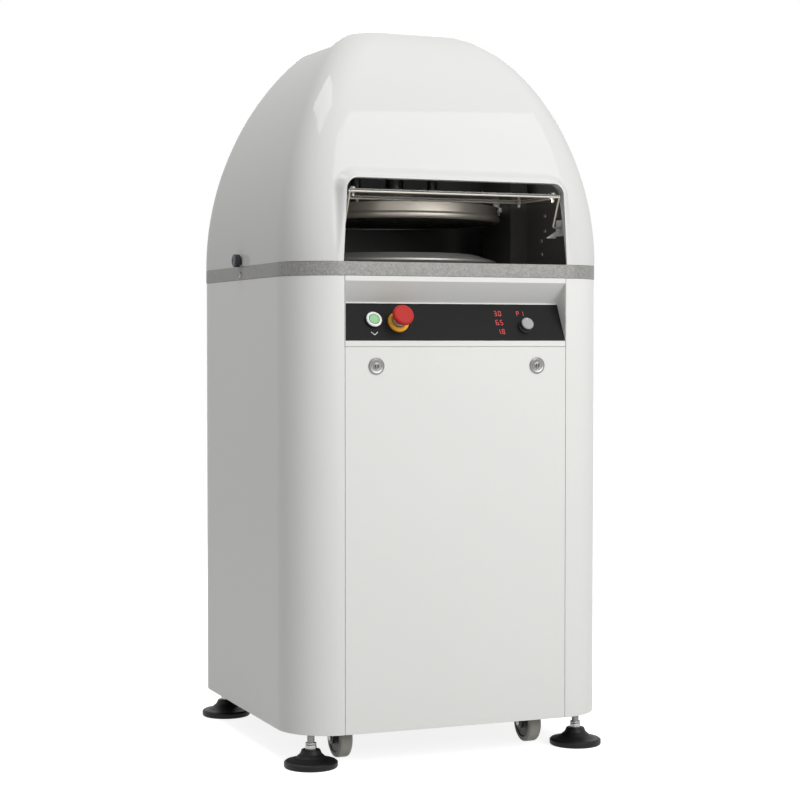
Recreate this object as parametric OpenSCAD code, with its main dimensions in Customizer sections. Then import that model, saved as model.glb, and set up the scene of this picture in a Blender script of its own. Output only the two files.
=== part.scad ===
// Divider rounder for dough: floor cabinet, orbiting table, hydraulic dividing head, domed hood.
// X runs to the right, Y to the back, Z up from the floor, with the origin under the plan centre.

/* [Cabinet] */
// Width over the side covers
body_w = 640; // [620:1:660]
// Depth over the front and rear covers
body_d = 634; // [614:1:654]
// Radius of the four upright corners
corner_r = 97; // [85:1:105]
// Floor clearance under the covers
skirt_z = 64; // [58:1:70]
// Height of the covers
cabinet_h = 834; // [824:1:850]
// Thickness of the cover sheets
skin_t = 2; // [1.5:0.1:2.5]
// Width of the seams between covers
seam = 1; // [0.5:0.1:2]
// Width of the inner flanges behind the seams
flange_w = 18; // [14:1:22]
// Height of the cast top ring
ring_h = 26; // [24:1:30]
// Projection of the top ring past the covers
ring_proud = 1; // [0.5:0.1:2]

/* [Frame] */
// Height of the underside of the base plate
base_z = 102; // [100:1:106]
// Thickness of the base plate
base_t = 8; // [6:1:12]
// Side of the square posts
post_w = 40; // [30:1:44]
// Distance of the post centres inside the side covers
post_in = 85; // [82:1:92]
// Distance of the post centres inside the front and rear covers
post_back = 82; // [79:1:89]
// Wall of the square posts
post_wall = 4; // [3:0.5:6]
// Distance of the underside of the drive plate below the top ring
drive_down = 158; // [153:1:168]
// Thickness of the drive plate
drive_t = 12; // [10:1:14]

/* [Console] */
// Height of the control console
console_h = 128; // [122:1:134]
// Height of the lip above the recess
lip_h = 9; // [6:1:12]
// Height of the sill below the recess
sill_h = 10; // [7:1:13]
// Depth of the recess
recess_d = 38; // [32:1:42]
// Height of the recess edge above the sill
slope_h = 71; // [66:1:76]
// Set-back of the foot of the slope
foot_d = 1; // [0.5:0.1:3]
// Thickness of the black fascia
fascia_t = 1.5; // [1:0.1:2.5]
// Margin of the fascia below the recess edge
fascia_margin = 3; // [2:0.5:5]

/* [Controls] */
// Distance of the start button from the end of the console
start_in = 61; // [47:1:67]
// Place of the start button up the slope
start_s = 41; // [34:1:46]
// Distance between the start and stop buttons
stop_apart = 48; // [43:1:66]
// Place of the stop button up the slope
stop_s = 37; // [32:1:44]
// Radius of the mounting barrels
barrel_r = 11; // [10.5:0.1:12]
// Radius of the start button bezel
bezel_r = 15; // [14:0.5:17]
// Radius of the start button cap
start_cap_r = 10; // [8:0.1:10.2]
// Travel of the start button
start_travel = 4; // [2:0.5:5]
// Radius of the stop button collar
collar_r = 20; // [18:0.5:23]
// Radius of the stop button mushroom
mushroom_r = 20; // [17:0.5:22]
// Radius of the stop button stem
stem_r = 5; // [4:0.5:6]
// Travel of the stop button
stop_travel = 5; // [3:0.5:5]
// Distance of the dial from the end of the console
dial_in = 79; // [62:1:87]
// Place of the dial up the slope
dial_s = 29; // [24:1:34]
// Radius of the dial skirt
dial_r = 13.5; // [12.5:0.5:16]
// Radius of the dial cap
dial_cap_r = 12; // [9:0.5:12]
// Radius of the dial shaft
dial_shaft_r = 3; // [2.5:0.1:3.5]
// Distance between the number rows and the dial
digits_apart = 49; // [43:1:63]
// Height of a number
digit_h = 10; // [8:0.5:11]
// Width of a number
digit_w = 5.5; // [4.5:0.5:6.5]
// Width of a lit bar
bar_w = 1.2; // [0.8:0.1:1.6]

/* [Locks] */
// Distance of the panel locks from the sides of the panel
lock_in = 60; // [54:1:67]
// Distance of the panel locks from the top of the panel
lock_down = 35; // [24:1:49]
// Radius of the lock head
lock_head_r = 15.5; // [13:0.5:18]
// Projection of the lock head
lock_head_t = 3; // [2:0.5:5]
// Radius of the lock barrel
lock_barrel_r = 9; // [8:0.5:11]
// Radius of the turning lock core
lock_core_r = 6; // [5:0.5:7]
// Reach of the lock cam
cam_reach = 54; // [50:1:58]

/* [Hood] */
// Height of the hood
hood_h = 463.5; // [440:0.5:480]
// Wall of the hood
hood_wall = 4; // [3:0.5:5]
// Half length of the ridge at the top
ridge_half = 105; // [85:1:120]
// Corner radius at the foot of the hood
hood_corner_r = 93.5; // [85:0.5:100]
// Share of the corner radius lost at the top
hood_corner_ease = 0.37; // [0.2:0.01:0.5]
// Swell of the side curve
side_swell = 2.04; // [1.8:0.01:2.3]
// Roundness of the side curve
side_round = 1.36; // [1.2:0.01:1.6]
// Swell of the front curve
front_swell = 1.55; // [1.4:0.01:1.8]
// Roundness of the front curve
front_round = 2.87; // [2.5:0.01:3.2]
// Distance of the window's foot inside the side covers
window_in = 95; // [90:0.5:98]
// Narrowing of the window on each side up to its top
window_taper = 8; // [4:0.5:9.5]
// Height of the window
window_h = 152; // [146:1:158]
// Radius of the upper window corners
window_r = 22; // [14:1:30]
// Width of the rim round the window
rim_w = 15; // [10:1:20]
// Spread of the rim where it meets the dome
rim_spread = 12; // [6:1:16]
// Height of the hood knobs above the top ring
knob_up = 11; // [9:1:16]
// Radius of the hood knobs
knob_r = 12.5; // [9:0.5:14]
// Length of the hood knobs
knob_len = 14; // [10:1:18]
// Radius of the hood knob studs
knob_stud_r = 4; // [3:0.5:5]

/* [Table] */
// Orbit radius of the rounding table
orbit_e = 8; // [5:0.5:11]
// Depth of the pocket in the top ring
pocket_depth = 18; // [17:0.5:20]
// Distance of the pocket in the top ring inside the uprights
pocket_in = 11; // [9:1:15]
// Distance of the rounding table inside the pocket
table_in = 18; // [16:1:29]
// Thickness of the rounding table
table_t = 15; // [13:1:18]
// Height of the table underside above the pocket floor
table_gap = 9; // [8.5:0.5:12]
// Distance of the moulding plate inside the uprights
plate_in = 19; // [17:1:25]
// Thickness of the moulding plate
plate_t = 21; // [16:1:22]
// Width of the moulding plate outside the hollow under it
plate_land = 56; // [41:1:86]
// Number of rim studs on the moulding plate
rim_stud_n = 22; // [16:1:28]
// Height of the rim studs
rim_stud_h = 2; // [1:0.5:2]
// Radius of the stop pins behind the moulding plate
stop_pin_r = 5; // [4:0.5:6]
// Distance of the side cranks inside the rounding table across
side_crank_in = 66; // [56:1:86]
// Distance of the side cranks from the middle in depth
side_crank_y = 75; // [60:1:85]
// Radius of the side crank pins
side_pin_r = 6; // [5:0.5:8]

/* [Head] */
// Stroke of the head
head_stroke = 60; // [55:1:62]
// Gap left between the lowered head and the moulding plate
head_rest = 2.6; // [2.6:0.1:4]
// Height of the press ring
head_ring_h = 30.4; // [30:0.1:32]
// Distance of the press ring's bore inside the uprights
head_in = 25; // [24:1:33]
// Wall of the press ring
head_wall = 6; // [5:0.5:8]
// Projection of the bead round the press ring
bead_proud = 5; // [3:0.5:5]
// Thickness of the head plate
head_plate_t = 4; // [3:0.5:5]
// Radius of the hub on the head plate
hub_r = 60; // [50:1:66]
// Height of the hub on the head plate
hub_h = 16; // [14:1:18]
// Height of the knives
knife_h = 10.4; // [8:0.1:11]
// Thickness of the knives
knife_t = 2; // [1.5:0.1:3]
// Radius of the inner ring knife
knife_r1 = 72.7; // [65:0.1:80]
// Radius of the outer ring knife
knife_r2 = 135.9; // [128:0.1:142]
// Thickness of the press plates
press_t = 3; // [2:0.5:3.5]
// Thickness of the plate that carries the press plates
carrier_t = 3.5; // [3:0.5:4]
// Radius of the press plate guide stem
press_stem_r = 12; // [10:0.5:15]
// Radius of the guide rods
guide_r = 10; // [8:0.5:12]
// Distance of the guide rods from the middle
guide_x = 82; // [80:1:100]
// Radius of the ram
ram_r = 18; // [15:0.5:20]

/* [Press frame] */
// Distance of the uprights inside the side covers
upright_in = 58; // [55:1:61]
// Width of the uprights
upright_w = 37; // [30:1:38]
// Depth of the uprights
upright_d = 134; // [110:1:140]
// Wall of the uprights
upright_wall = 4; // [3:0.5:6]
// Height of the uprights
upright_h = 196; // [190:1:200]
// Thickness of the crossbeam
beam_t = 40; // [30:1:44]
// Depth of the crossbeam
beam_d = 90; // [80:1:100]
// Radius of the press cylinder
cylinder_r = 45; // [42:1:48]
// Length of the press cylinder past its stroke
cylinder_spare = 115; // [110:1:122]
// Bore radius of the press cylinder
bore_r = 32; // [28:0.5:34]
// Thickness of the side plates
side_plate_t = 3; // [2:0.5:4]
// Height of the side plates
side_plate_h = 131; // [126:1:134]
// Front edge of the side plates
side_plate_front = 45; // [42:1:50]

/* [Guard] */
// Radius of the guard rods
rod_r = 2; // [1.5:0.1:2.5]
// Distance of the guard rods inside the uprights
guard_in = 14; // [14:0.5:19]
// Set-back of the front guard rod from the front
guard_front = 6; // [6:0.5:10]
// Set-back of the rear guard rod from the front
guard_rear = 172; // [160:1:176]
// Height of the guard rods above the top ring
guard_up = 127; // [126:0.5:129]
// Set-back of the guard pivots from the front
pivot_back = 32; // [29:1:36]
// Height of the guard pivots above the top ring
pivot_up = 71; // [65:1:77]
// Thickness of the clear guard panel
guard_t = 3; // [2:0.5:4]
// Reach of the guard brackets from the side plates
bracket_reach = 34; // [30:1:36]

/* [Drive] */
// Radius of the main shaft
shaft_r = 17.5; // [15:0.5:20]
// Radius of the eccentric pin
crank_pin_r = 10; // [8:0.5:12]
// Radius of the crank web
crank_web_r = 45; // [38:1:48]
// Outer radius of the main bearings
bearing_r = 36; // [32:0.5:38]
// Height of the main bearings
bearing_h = 17; // [14:1:18]
// Length of the bearing housing
housing_h = 104; // [90:1:110]
// Radius of the driven pulley
driven_r = 90; // [80:1:95]
// Radius of the motor pulley
motor_pulley_r = 40; // [35:1:45]
// Width of the belt
belt_w = 20; // [16:1:22]
// Thickness of the belt
belt_t = 4; // [3:0.5:5]
// Place of the rounding motor across
motor_out = 130; // [122:1:135]
// Least distance of the rounding motor's axis from the electrical box
motor_apart = 90; // [85:1:95]
// Distance between the motor's axis and the crank's axis
belt_span = 170.294; // [167:0.001:177]
// Radius of the rounding motor
motor_r = 70; // [60:1:74]
// Length of the rounding motor
motor_h = 220; // [200:1:240]
// Radius of the motor shaft
motor_shaft_r = 9.5; // [7:0.5:11]

/* [Services] */
// Width of the oil tank
tank_w = 180; // [160:1:186]
// Depth of the oil tank
tank_d = 280; // [270:1:290]
// Height of the oil tank
tank_h = 220; // [200:1:240]
// Wall of the oil tank
tank_wall = 3; // [2:0.5:4]
// Radius of the pump motor
pump_r = 62; // [55:1:66]
// Height of the pump motor
pump_h = 230; // [210:1:250]
// Radius of the oil pipe
pipe_r = 5; // [4:0.5:6]
// Place of the oil pipe across
pipe_x = -112; // [-118:1:-108]
// Place of the oil pipe in depth
pipe_y = 225; // [224:1:228]
// Depth of the electrical box across
box_w = 85; // [70:1:88]
// Height of the electrical box
box_h = 350; // [300:1:380]
// Length of the cable gland
gland_len = 14; // [12:1:18]

/* [Feet and castors] */
// Distance of the feet inside the side covers
foot_in = 49; // [48:1:54]
// Distance of the feet inside the front and rear covers
foot_back = 51; // [49:1:55]
// Radius of the foot pads
foot_r = 49.5; // [44:0.5:52]
// Height of the foot pads
foot_h = 33; // [28:1:36]
// Radius of the foot spindles
spindle_r = 7; // [6:0.5:8]
// Radius of the castor wheels
wheel_r = 37.5; // [34:0.5:38.5]
// Width of the castor wheels
wheel_w = 30; // [24:1:32]
// Floor clearance of the castor wheels
wheel_clear = 2; // [1.5:0.5:4]
// Distance of the castors from the feet across
castor_apart = 76.5; // [70:0.5:83]
// Distance of the castors from the middle in depth
castor_y = 212; // [205:1:214]
// Radius of the castor axles
axle_r = 4; // [3:0.5:5]

/* [Fits] */
// Radial clearance of a turning or sliding shaft
run = 0.05; // [0.02:0.01:0.08]
// Clearance between pieces that pass each other
clear = 0.5; // [0.3:0.1:0.8]
// Side clearance of the press plates between the knives
knife_clear = 0.75; // [0.5:0.05:1]
// Clearance of the stop pins in the moulding plate
pin_clear = 0.3; // [0.2:0.1:0.6]

/* [Hidden] */
$fn = 64;
eps = 1;
half_w = body_w / 2;
front_y = -body_d / 2;
rear_y = body_d / 2;
flat_x = half_w - corner_r;
flat_y = rear_y - corner_r;
panel_half = flat_x - seam;
cab_top = skirt_z + cabinet_h;
ring_top = cab_top + ring_h;
console_z = cab_top - console_h;
flange_lap = 3;
post_x = half_w - post_in;
post_y = rear_y - post_back;
box_x = post_x - 10;
motor_x = min(motor_out, box_x - motor_apart);
motor_y = sqrt(belt_span * belt_span - motor_x * motor_x);
drive_z = cab_top - drive_down;
foot_x = half_w - foot_in;
foot_y = rear_y - foot_back;
castor_x = foot_x - castor_apart;

// Places on the panel and the console
lock_x = panel_half - lock_in;
lock_z = console_z - seam - lock_down;
start_x = start_in - panel_half;
stop_x = start_x + stop_apart;
dial_x = panel_half - dial_in;
digits_x = dial_x - digits_apart;

// Places inside the uprights
frame_half = half_w - upright_in;
upright_x = frame_half - upright_w;
pocket_r = upright_x - pocket_in;
table_r = pocket_r - table_in;
plate_r = upright_x - plate_in;
plate_hollow_r = plate_r - plate_land;
head_r = upright_x - head_in;
guard_half = upright_x - guard_in;
side_crank_x = table_r - side_crank_in;
window_half = half_w - window_in;
window_top_half = window_half - window_taper;

// Slope of the console fascia
sill_z = console_z + sill_h;
edge_z = sill_z + slope_h;
lip_z = cab_top - lip_h;
slope_d = recess_d - foot_d;
tilt = atan(slope_d / slope_h);
slope_len = norm([slope_d, slope_h]);
sheet_shift = skin_t / cos(tilt);
fascia_half = panel_half - skin_t - clear;
block_w = 30;
block_top = -14;

// Levels of the table, from the pocket floor up
pocket_z = ring_top - pocket_depth;
table_z = pocket_z + table_gap;
plate_z = table_z + table_t;
plate_top = plate_z + plate_t;
stop_pin_x = 60;
stop_pin_y = plate_r - 26;
stop_pin_h = 10;
web_h = table_gap - 2 * clear;
side_web_r = side_pin_r + orbit_e + 4;

// Levels of the dividing head, from its lower edge up
head_z = plate_top + head_stroke + head_rest;
head_top = head_z + head_ring_h;
head_plate_z = head_top - head_plate_t;
knife_z = head_z + 1;
knife_top = knife_z + knife_h;
press_z = head_z + 1.4;
carrier_z = knife_top + 1;
press_travel = head_plate_z - carrier_z - carrier_t - clear;
cell_rows = [4, 10, 16];
cell_edges = [0, knife_r1, knife_r2, head_r];

// Levels of the press frame
beam_z = ring_top + upright_h;
beam_top = beam_z + beam_t;
ram_foot = head_top + hub_h;
stem_roof = ram_foot - 2;
press_stem_h = stem_roof - clear - press_travel - carrier_z - carrier_t;
piston_h = 16;
cylinder_cap = 12;
cylinder_h = head_stroke + cylinder_spare;
piston_top = beam_top + cylinder_h - cylinder_cap - 10;
port_z = beam_top + 30;
port_y = 30;
port_x = -52;
guide_top = beam_top + head_stroke + 30;

// Levels of the belt drive
belt_z = drive_z + drive_t + 15;
pulley_h = belt_w + 5;
pulley_lip = 2;
pulley_rise = 7;
shaft_z = drive_z - housing_h;
web_z = pocket_z - 10;
hub_hole_r = crank_web_r + 10;

// Guard line
guard_z = ring_top + guard_up;
pivot_z = ring_top + pivot_up;
pivot_y = front_y + pivot_back;
bracket_x = frame_half - bracket_reach;

// Castors and feet
wheel_z = wheel_clear + wheel_r;
fork_t = 3;
fork_gap = 1.2;
boss_h = 30;

// Hood rings
hood_rings = 18;
hood_arc = 7;
hood_end = 0.9995;

// Shared shapes

// Block between two corners
module span(low, high) {
    translate(low) cube(high - low);
}

// Upright cylinder between two levels
module post(r, low, high) {
    translate([0, 0, low]) cylinder(r = r, h = high - low);
}

// Slab with four round upright corners
module round_slab(w, d, r, h) {
    span([r - w / 2, -d / 2, 0], [w / 2 - r, d / 2, h]);
    for (s = [-1, 1])
        translate([s * (w - r) / 2 - r / 2, r - d / 2, 0]) cube([r, d - 2 * r, h]);
    for (quarter = [0 : 3])
        rotate(90 * quarter)
            translate([(quarter % 2 == 0 ? w : d) / 2 - r, (quarter % 2 == 0 ? d : w) / 2 - r, 0])
                rotate_extrude(angle = 90) square([r, h]);
}

// Profile in depth and height, drawn out along X
module along_x(low, high) {
    translate([low, 0, 0]) rotate([90, 0, 90]) linear_extrude(high - low) children();
}

// Rod along X
module rod_x(r, low, high) {
    translate([low, 0, 0]) rotate([0, 90, 0]) cylinder(r = r, h = high - low);
}

// Rod along Y
module rod_y(r, low, high) {
    translate([0, low, 0]) rotate([-90, 0, 0]) cylinder(r = r, h = high - low);
}

// Both sides of the machine
module both_sides() {
    for (s = [0, 1]) mirror([s, 0, 0]) children();
}

// Places on the fascia: Z points out of the slope and Y up it
module on_slope(x, s) {
    translate([x, front_y + foot_d + s * sin(tilt), sill_z + s * cos(tilt)])
        rotate([90 - tilt, 0, 0]) children();
}

// Frame and covers

module base_frame() {
    inner_w = body_w - 2 * skin_t - 2 * clear;
    inner_d = body_d - 4 * skin_t - 2 * clear;
    color("dimgray") difference() {
        union() {
            translate([0, 0, base_z]) round_slab(inner_w, inner_d, corner_r - skin_t - clear, base_t);
            for (x = [-1, 1], y = [-1, 1]) {
                translate([x * post_x, y * post_y, 0]) square_post();
                translate([x * foot_x, y * foot_y, 0]) post(spindle_r + 12, base_z, base_z + base_t + boss_h);
            }
            span([-post_x, -post_y, drive_z], [post_x, max(post_y, pipe_y + pipe_edge), drive_z + drive_t]);
        }
        for (x = [-1, 1], y = [-1, 1])
            translate([x * foot_x, y * foot_y, 0])
                post(spindle_r + run, base_z - eps, base_z + base_t + boss_h + eps);
        post(shaft_r + 12, drive_z - eps, drive_z + drive_t + eps);
        translate([motor_x, motor_y, 0]) post(motor_shaft_r + 12, drive_z - eps, drive_z + drive_t + eps);
        translate([pipe_x, pipe_y, 0]) post(pipe_r + 3, drive_z - eps, drive_z + drive_t + eps);
    }
}

module square_post() {
    low = base_z + base_t;
    inner = post_w - 2 * post_wall;
    difference() {
        translate([-post_w / 2, -post_w / 2, low]) cube([post_w, post_w, cab_top - low]);
        translate([-inner / 2, -inner / 2, low + eps]) cube([inner, inner, cab_top - low]);
    }
}

// Cover of the right side with its two round corners and the flanges behind the seams
module side_cover() {
    span([half_w - skin_t, -flat_y, skirt_z], [half_w, flat_y, cab_top]);
    for (s = [-1, 1])
        translate([flat_x, s * flat_y, skirt_z]) rotate(s > 0 ? 0 : -90)
            rotate_extrude(angle = 90) translate([corner_r - skin_t, 0]) square([skin_t, cabinet_h]);
    span([flat_x - flange_w, front_y + skin_t, skirt_z],
        [flat_x + flange_lap, front_y + 2 * skin_t, console_z - seam]);
    span([flat_x - flange_w, rear_y - 2 * skin_t, skirt_z],
        [flat_x + flange_lap, rear_y - skin_t, cab_top]);
}

module side_cover_left() {
    color("whitesmoke") mirror([1, 0, 0]) side_cover();
}

module side_cover_right() {
    color("whitesmoke") side_cover();
}

screw_r = 3;
screw_head_r = 5.5;
screw_head_h = 3;
rear_screw_x = panel_half - flange_w / 2;
rear_screw_z = [for (i = [0 : 3]) skirt_z + 60 + i * (cabinet_h - 120) / 3];
gland_in = 72;
gland_x = panel_half - gland_in;
gland_z = 200;
gland_r = 8;

module rear_cover() {
    vent_n = 12;
    vent_pitch = 22;
    vent_w = 130;
    color("whitesmoke") difference() {
        span([-panel_half, rear_y - skin_t, skirt_z], [panel_half, rear_y, cab_top]);
        for (x = [-1, 1], z = rear_screw_z)
            translate([x * rear_screw_x, 0, z]) rod_y(screw_r + run, rear_y - skin_t - eps, rear_y + eps);
        translate([gland_x, 0, gland_z]) rod_y(gland_r + run, rear_y - skin_t - eps, rear_y + eps);
        for (side = [-1, 1], i = [0 : vent_n - 1])
            translate([side * vent_w * 0.62 - vent_w / 2, rear_y - skin_t - eps, cab_top - 420 + i * vent_pitch])
                cube([vent_w, skin_t + 2 * eps, 6]);
    }
}

// Button-head screw pointing along -Z with its head above
module screw(len) {
    post(screw_r, -len, 0);
    post(screw_head_r, 0, screw_head_h);
}

// Places of the bolts that hold a side plate: depth from the front, height above the ring
side_bolts = [[169, 103], [120, 102], [169, 73], [184, 54], [182, 27]];

module screws() {
    color("silver") {
        for (x = [-1, 1], z = rear_screw_z)
            translate([x * rear_screw_x, rear_y, z]) rotate([-90, 0, 0]) screw(skin_t);
        both_sides() {
            for (b = side_bolts)
                translate([frame_half, front_y + b[0], ring_top + b[1]]) rotate([0, -90, 0]) screw(side_plate_t);
            translate([half_w + ring_proud, 0, cab_top + ring_h / 2 - 3]) rotate([0, 90, 0]) screw(8);
        }
    }
}

module access_panel() {
    rib_x = lock_x - 42;
    rib_w = 24;
    rib_d = 14;
    rib_end = 50;
    color("whitesmoke") difference() {
        union() {
            span([-panel_half, front_y, skirt_z], [panel_half, front_y + skin_t, console_z - seam]);
            for (x = [-1, 1])
                span([x * rib_x - rib_w / 2, front_y + skin_t, skirt_z + rib_end],
                    [x * rib_x + rib_w / 2, front_y + rib_d, console_z - rib_end]);
        }
        for (x = [-1, 1])
            translate([x * lock_x, 0, lock_z]) rod_y(lock_barrel_r + run, front_y - eps, front_y + skin_t + eps);
    }
}

lock_end = front_y + 2 * skin_t + 0.5;

module lock_housings() {
    color("gainsboro") both_sides() translate([lock_x, 0, lock_z]) difference() {
        union() {
            rod_y(lock_head_r, front_y - lock_head_t, front_y);
            rod_y(lock_barrel_r, front_y - eps, lock_end);
        }
        rod_y(lock_core_r + run, front_y - lock_head_t - eps, lock_end + eps);
    }
}

// Turning core of the right lock with its cam hanging down, unlocked
module lock_cam() {
    cam_w = 14;
    cam_t = 3;
    slot_w = 2.4;
    slot_d = 3;
    cam_y = lock_end + clear;
    translate([lock_x, 0, lock_z]) {
        difference() {
            rod_y(lock_core_r, front_y - lock_head_t + 0.5, cam_y + eps);
            span([2 - lock_core_r, front_y - lock_head_t, -slot_w / 2],
                [lock_core_r - 2, front_y - lock_head_t + slot_d, slot_w / 2]);
        }
        span([-cam_w / 2, cam_y, -cam_reach], [cam_w / 2, cam_y + cam_t, cam_w / 2]);
    }
}

module lock_cam_left() {
    color("silver") mirror([1, 0, 0]) lock_cam();
}

module lock_cam_right() {
    color("silver") lock_cam();
}

// Console and controls

module control_console() {
    front = [[0, console_z], [0, sill_z], [foot_d, sill_z], [recess_d, edge_z], [0, lip_z], [0, cab_top]];
    line = [for (p = front) [front_y + p[0], p[1]]];
    back = [for (i = [len(line) - 1 : -1 : 0]) line[i] + [sheet_shift, 0]];
    cheek = [line[1], line[2], line[3], line[4]];
    color("whitesmoke") difference() {
        union() {
            along_x(-panel_half, panel_half) polygon(concat(line, back));
            both_sides() along_x(panel_half - skin_t, panel_half) polygon(cheek);
        }
        fascia_holes();
    }
}

module fascia_holes() {
    for (p = [[start_x, start_s, barrel_r], [stop_x, stop_s, barrel_r], [dial_x, dial_s, dial_shaft_r + 2.2]])
        on_slope(p[0], p[1]) post(p[2] + run, -2 * skin_t, fascia_t + eps);
}

module control_fascia() {
    color("#26262a") difference() {
        on_slope(0, 0) span([-fascia_half, clear, 0], [fascia_half, slope_len - fascia_margin, fascia_t]);
        fascia_holes();
    }
}

// Lit bars of a number: top, upper right, lower right, foot, lower left, upper left, middle
bars = [[0, 1, 2, 3, 4, 5], [1, 2], [0, 1, 6, 4, 3], [0, 1, 6, 2, 3], [5, 6, 1, 2], [0, 5, 6, 2, 3],
    [0, 5, 6, 2, 3, 4], [0, 1, 2], [0, 1, 2, 3, 4, 5, 6], [0, 1, 2, 3, 5, 6], [0, 1, 6, 5, 4]];
letter_p = 10;

module lit_bar(i) {
    gap = 0.3;
    long = digit_h / 2 - bar_w / 2 - gap;
    wide = digit_w - 2 * bar_w - 2 * gap;
    raised = 0.3;
    x = (digit_w - bar_w) / 2;
    level = i == 0 ? digit_h - bar_w : i == 6 ? (digit_h - bar_w) / 2 : 0;
    if (i == 0 || i == 3 || i == 6)
        translate([-wide / 2, level, 0]) cube([wide, bar_w, raised]);
    else
        translate([(i == 1 || i == 2 ? x : -x) - bar_w / 2, (i == 1 || i == 5 ? digit_h : 0) / 2 + gap / 2, 0])
            cube([bar_w, long, raised]);
}

module number(value, x, s) {
    on_slope(x, s - digit_h / 2) translate([0, 0, fascia_t]) for (i = bars[value]) lit_bar(i);
}

module display_digits() {
    pitch = digit_w + 2;
    rows = [[19, 1, 8], [38, 6, 5], [57, 3, 0]];
    color("red") {
        for (r = rows) {
            number(r[1], digits_x - pitch / 2, r[0]);
            number(r[2], digits_x + pitch / 2, r[0]);
        }
        number(letter_p, dial_x - 9, 57);
        number(1, dial_x, 57);
    }
}

// Contact block behind a control
module contact_block() {
    translate([-block_w / 2, -block_w / 2, block_top - block_w]) cube(block_w);
}

module start_button_body() {
    color("white") on_slope(start_x, start_s) difference() {
        union() {
            post(bezel_r, fascia_t, fascia_t + 4.5);
            post(barrel_r, block_top, fascia_t + eps);
            contact_block();
        }
        post(start_cap_r + 0.3, -3, fascia_t + 5);
        post(start_cap_r / 2 + run, block_top - 8, 0);
    }
}

module start_button_cap() {
    low = -3 + start_travel + clear;
    color("mediumseagreen") on_slope(start_x, start_s) {
        post(start_cap_r, low, fascia_t + 5.5);
        post(start_cap_r / 2, block_top - 7 + start_travel, low + eps);
    }
}

module estop_base() {
    color("gold") on_slope(stop_x, stop_s) difference() {
        union() {
            rotate_extrude() polygon([[0, block_top], [barrel_r, block_top], [barrel_r, fascia_t],
                [collar_r, fascia_t], [collar_r, 5], [collar_r - 4, 9], [0, 9]]);
            contact_block();
        }
        post(stem_r + 7.6, 3, 10);
        post(stem_r + run, block_top - 8, 4);
    }
}

neck_top = 17;

module estop_stem() {
    color("lightgray") on_slope(stop_x, stop_s) {
        post(stem_r, block_top - 7 + stop_travel, 30);
        post(stem_r + 7, 3 + stop_travel + clear, neck_top);
    }
}

module estop_mushroom() {
    bore = stem_r + run;
    color("firebrick") on_slope(stop_x, stop_s) rotate_extrude()
        polygon([[bore, neck_top + 0.3], [mushroom_r - 5, neck_top + 0.3], [mushroom_r, 22], [mushroom_r, 26],
            [mushroom_r - 1.5, 30], [mushroom_r - 5, 33], [mushroom_r - 11, 35.4], [0, 36.5],
            [0, 30.3], [bore, 30.3]]);
}

module dial_encoder() {
    color("dimgray") on_slope(dial_x, dial_s) difference() {
        union() {
            post(dial_shaft_r + 2, block_top, fascia_t);
            translate([-8, -8, block_top - 10]) cube([16, 16, 10]);
        }
        post(dial_shaft_r + run, block_top - 6, fascia_t + eps);
    }
}

module dial_knob() {
    color("gray") on_slope(dial_x, dial_s) {
        post(dial_shaft_r, block_top - 5, fascia_t + 2);
        post(dial_r, fascia_t + clear, fascia_t + 4);
        post(dial_cap_r, fascia_t + 4, fascia_t + 16);
    }
}

// Top ring, table and its drive

module side_crank_places() {
    for (x = [-1, 1]) translate([x * side_crank_x, side_crank_y, 0]) children();
}

module top_ring() {
    color("darkgray") difference() {
        translate([0, 0, cab_top])
            round_slab(body_w + 2 * ring_proud, body_d + 2 * ring_proud, corner_r + ring_proud, ring_h);
        post(pocket_r, pocket_z, ring_top + eps);
        post(hub_hole_r, cab_top - eps, pocket_z + eps);
        side_crank_places() post(side_pin_r + run, cab_top - eps, pocket_z + eps);
        translate([pipe_x, pipe_y, 0]) post(pipe_r + 3, cab_top - eps, ring_top + eps);
        both_sides() translate([0, 0, cab_top + ring_h / 2 - 3])
            rod_x(screw_r + run, half_w - 10, half_w + ring_proud + eps);
    }
}

module rounding_table() {
    color("silver") translate([0, orbit_e, 0]) {
        difference() {
            post(table_r, table_z, plate_z);
            post(crank_pin_r + run, table_z - eps, plate_z + eps);
            side_crank_places() post(side_pin_r + run, table_z - eps, plate_z - 1);
        }
        for (x = [-1, 1])
            translate([x * stop_pin_x, stop_pin_y, 0]) post(stop_pin_r, plate_z, plate_z + stop_pin_h);
    }
}

module moulding_plate() {
    roof = 9;
    chamfer = 5;
    rim_stud_r = 1.5;
    rim_stud_ring = plate_r - 7;
    notch_y = stop_pin_y - stop_pin_r - pin_clear;
    notch_half = stop_pin_r + pin_clear;
    color("gainsboro") translate([0, orbit_e, 0]) difference() {
        union() {
            rotate_extrude() polygon([[0, plate_top - roof], [plate_hollow_r, plate_top - roof],
                [plate_hollow_r, plate_z], [plate_r - chamfer, plate_z], [plate_r, plate_z + chamfer],
                [plate_r, plate_top - chamfer / 2], [plate_r - chamfer / 2, plate_top], [0, plate_top]]);
            for (i = [0 : rim_stud_n - 1])
                rotate((i + 0.5) * 360 / rim_stud_n) translate([0, -rim_stud_ring, 0])
                    post(rim_stud_r, plate_top - eps, plate_top + rim_stud_h);
        }
        for (x = [-1, 1])
            span([x * stop_pin_x - notch_half, notch_y, plate_z - eps],
                [x * stop_pin_x + notch_half, plate_r + eps, plate_top + rim_stud_h + eps]);
    }
}

module main_crank() {
    color("silver") {
        post(shaft_r, shaft_z + 6 + clear, web_z + eps);
        post(crank_web_r, web_z, table_z - 4);
        translate([0, orbit_e, 0]) post(crank_pin_r, table_z - 4 - eps, plate_z - 1);
    }
}

module driven_pulley() {
    color("slategray") difference() {
        flanged_pulley(driven_r);
        post(shaft_r + run, belt_z - 10, belt_z + pulley_h + 10);
    }
}

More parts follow.
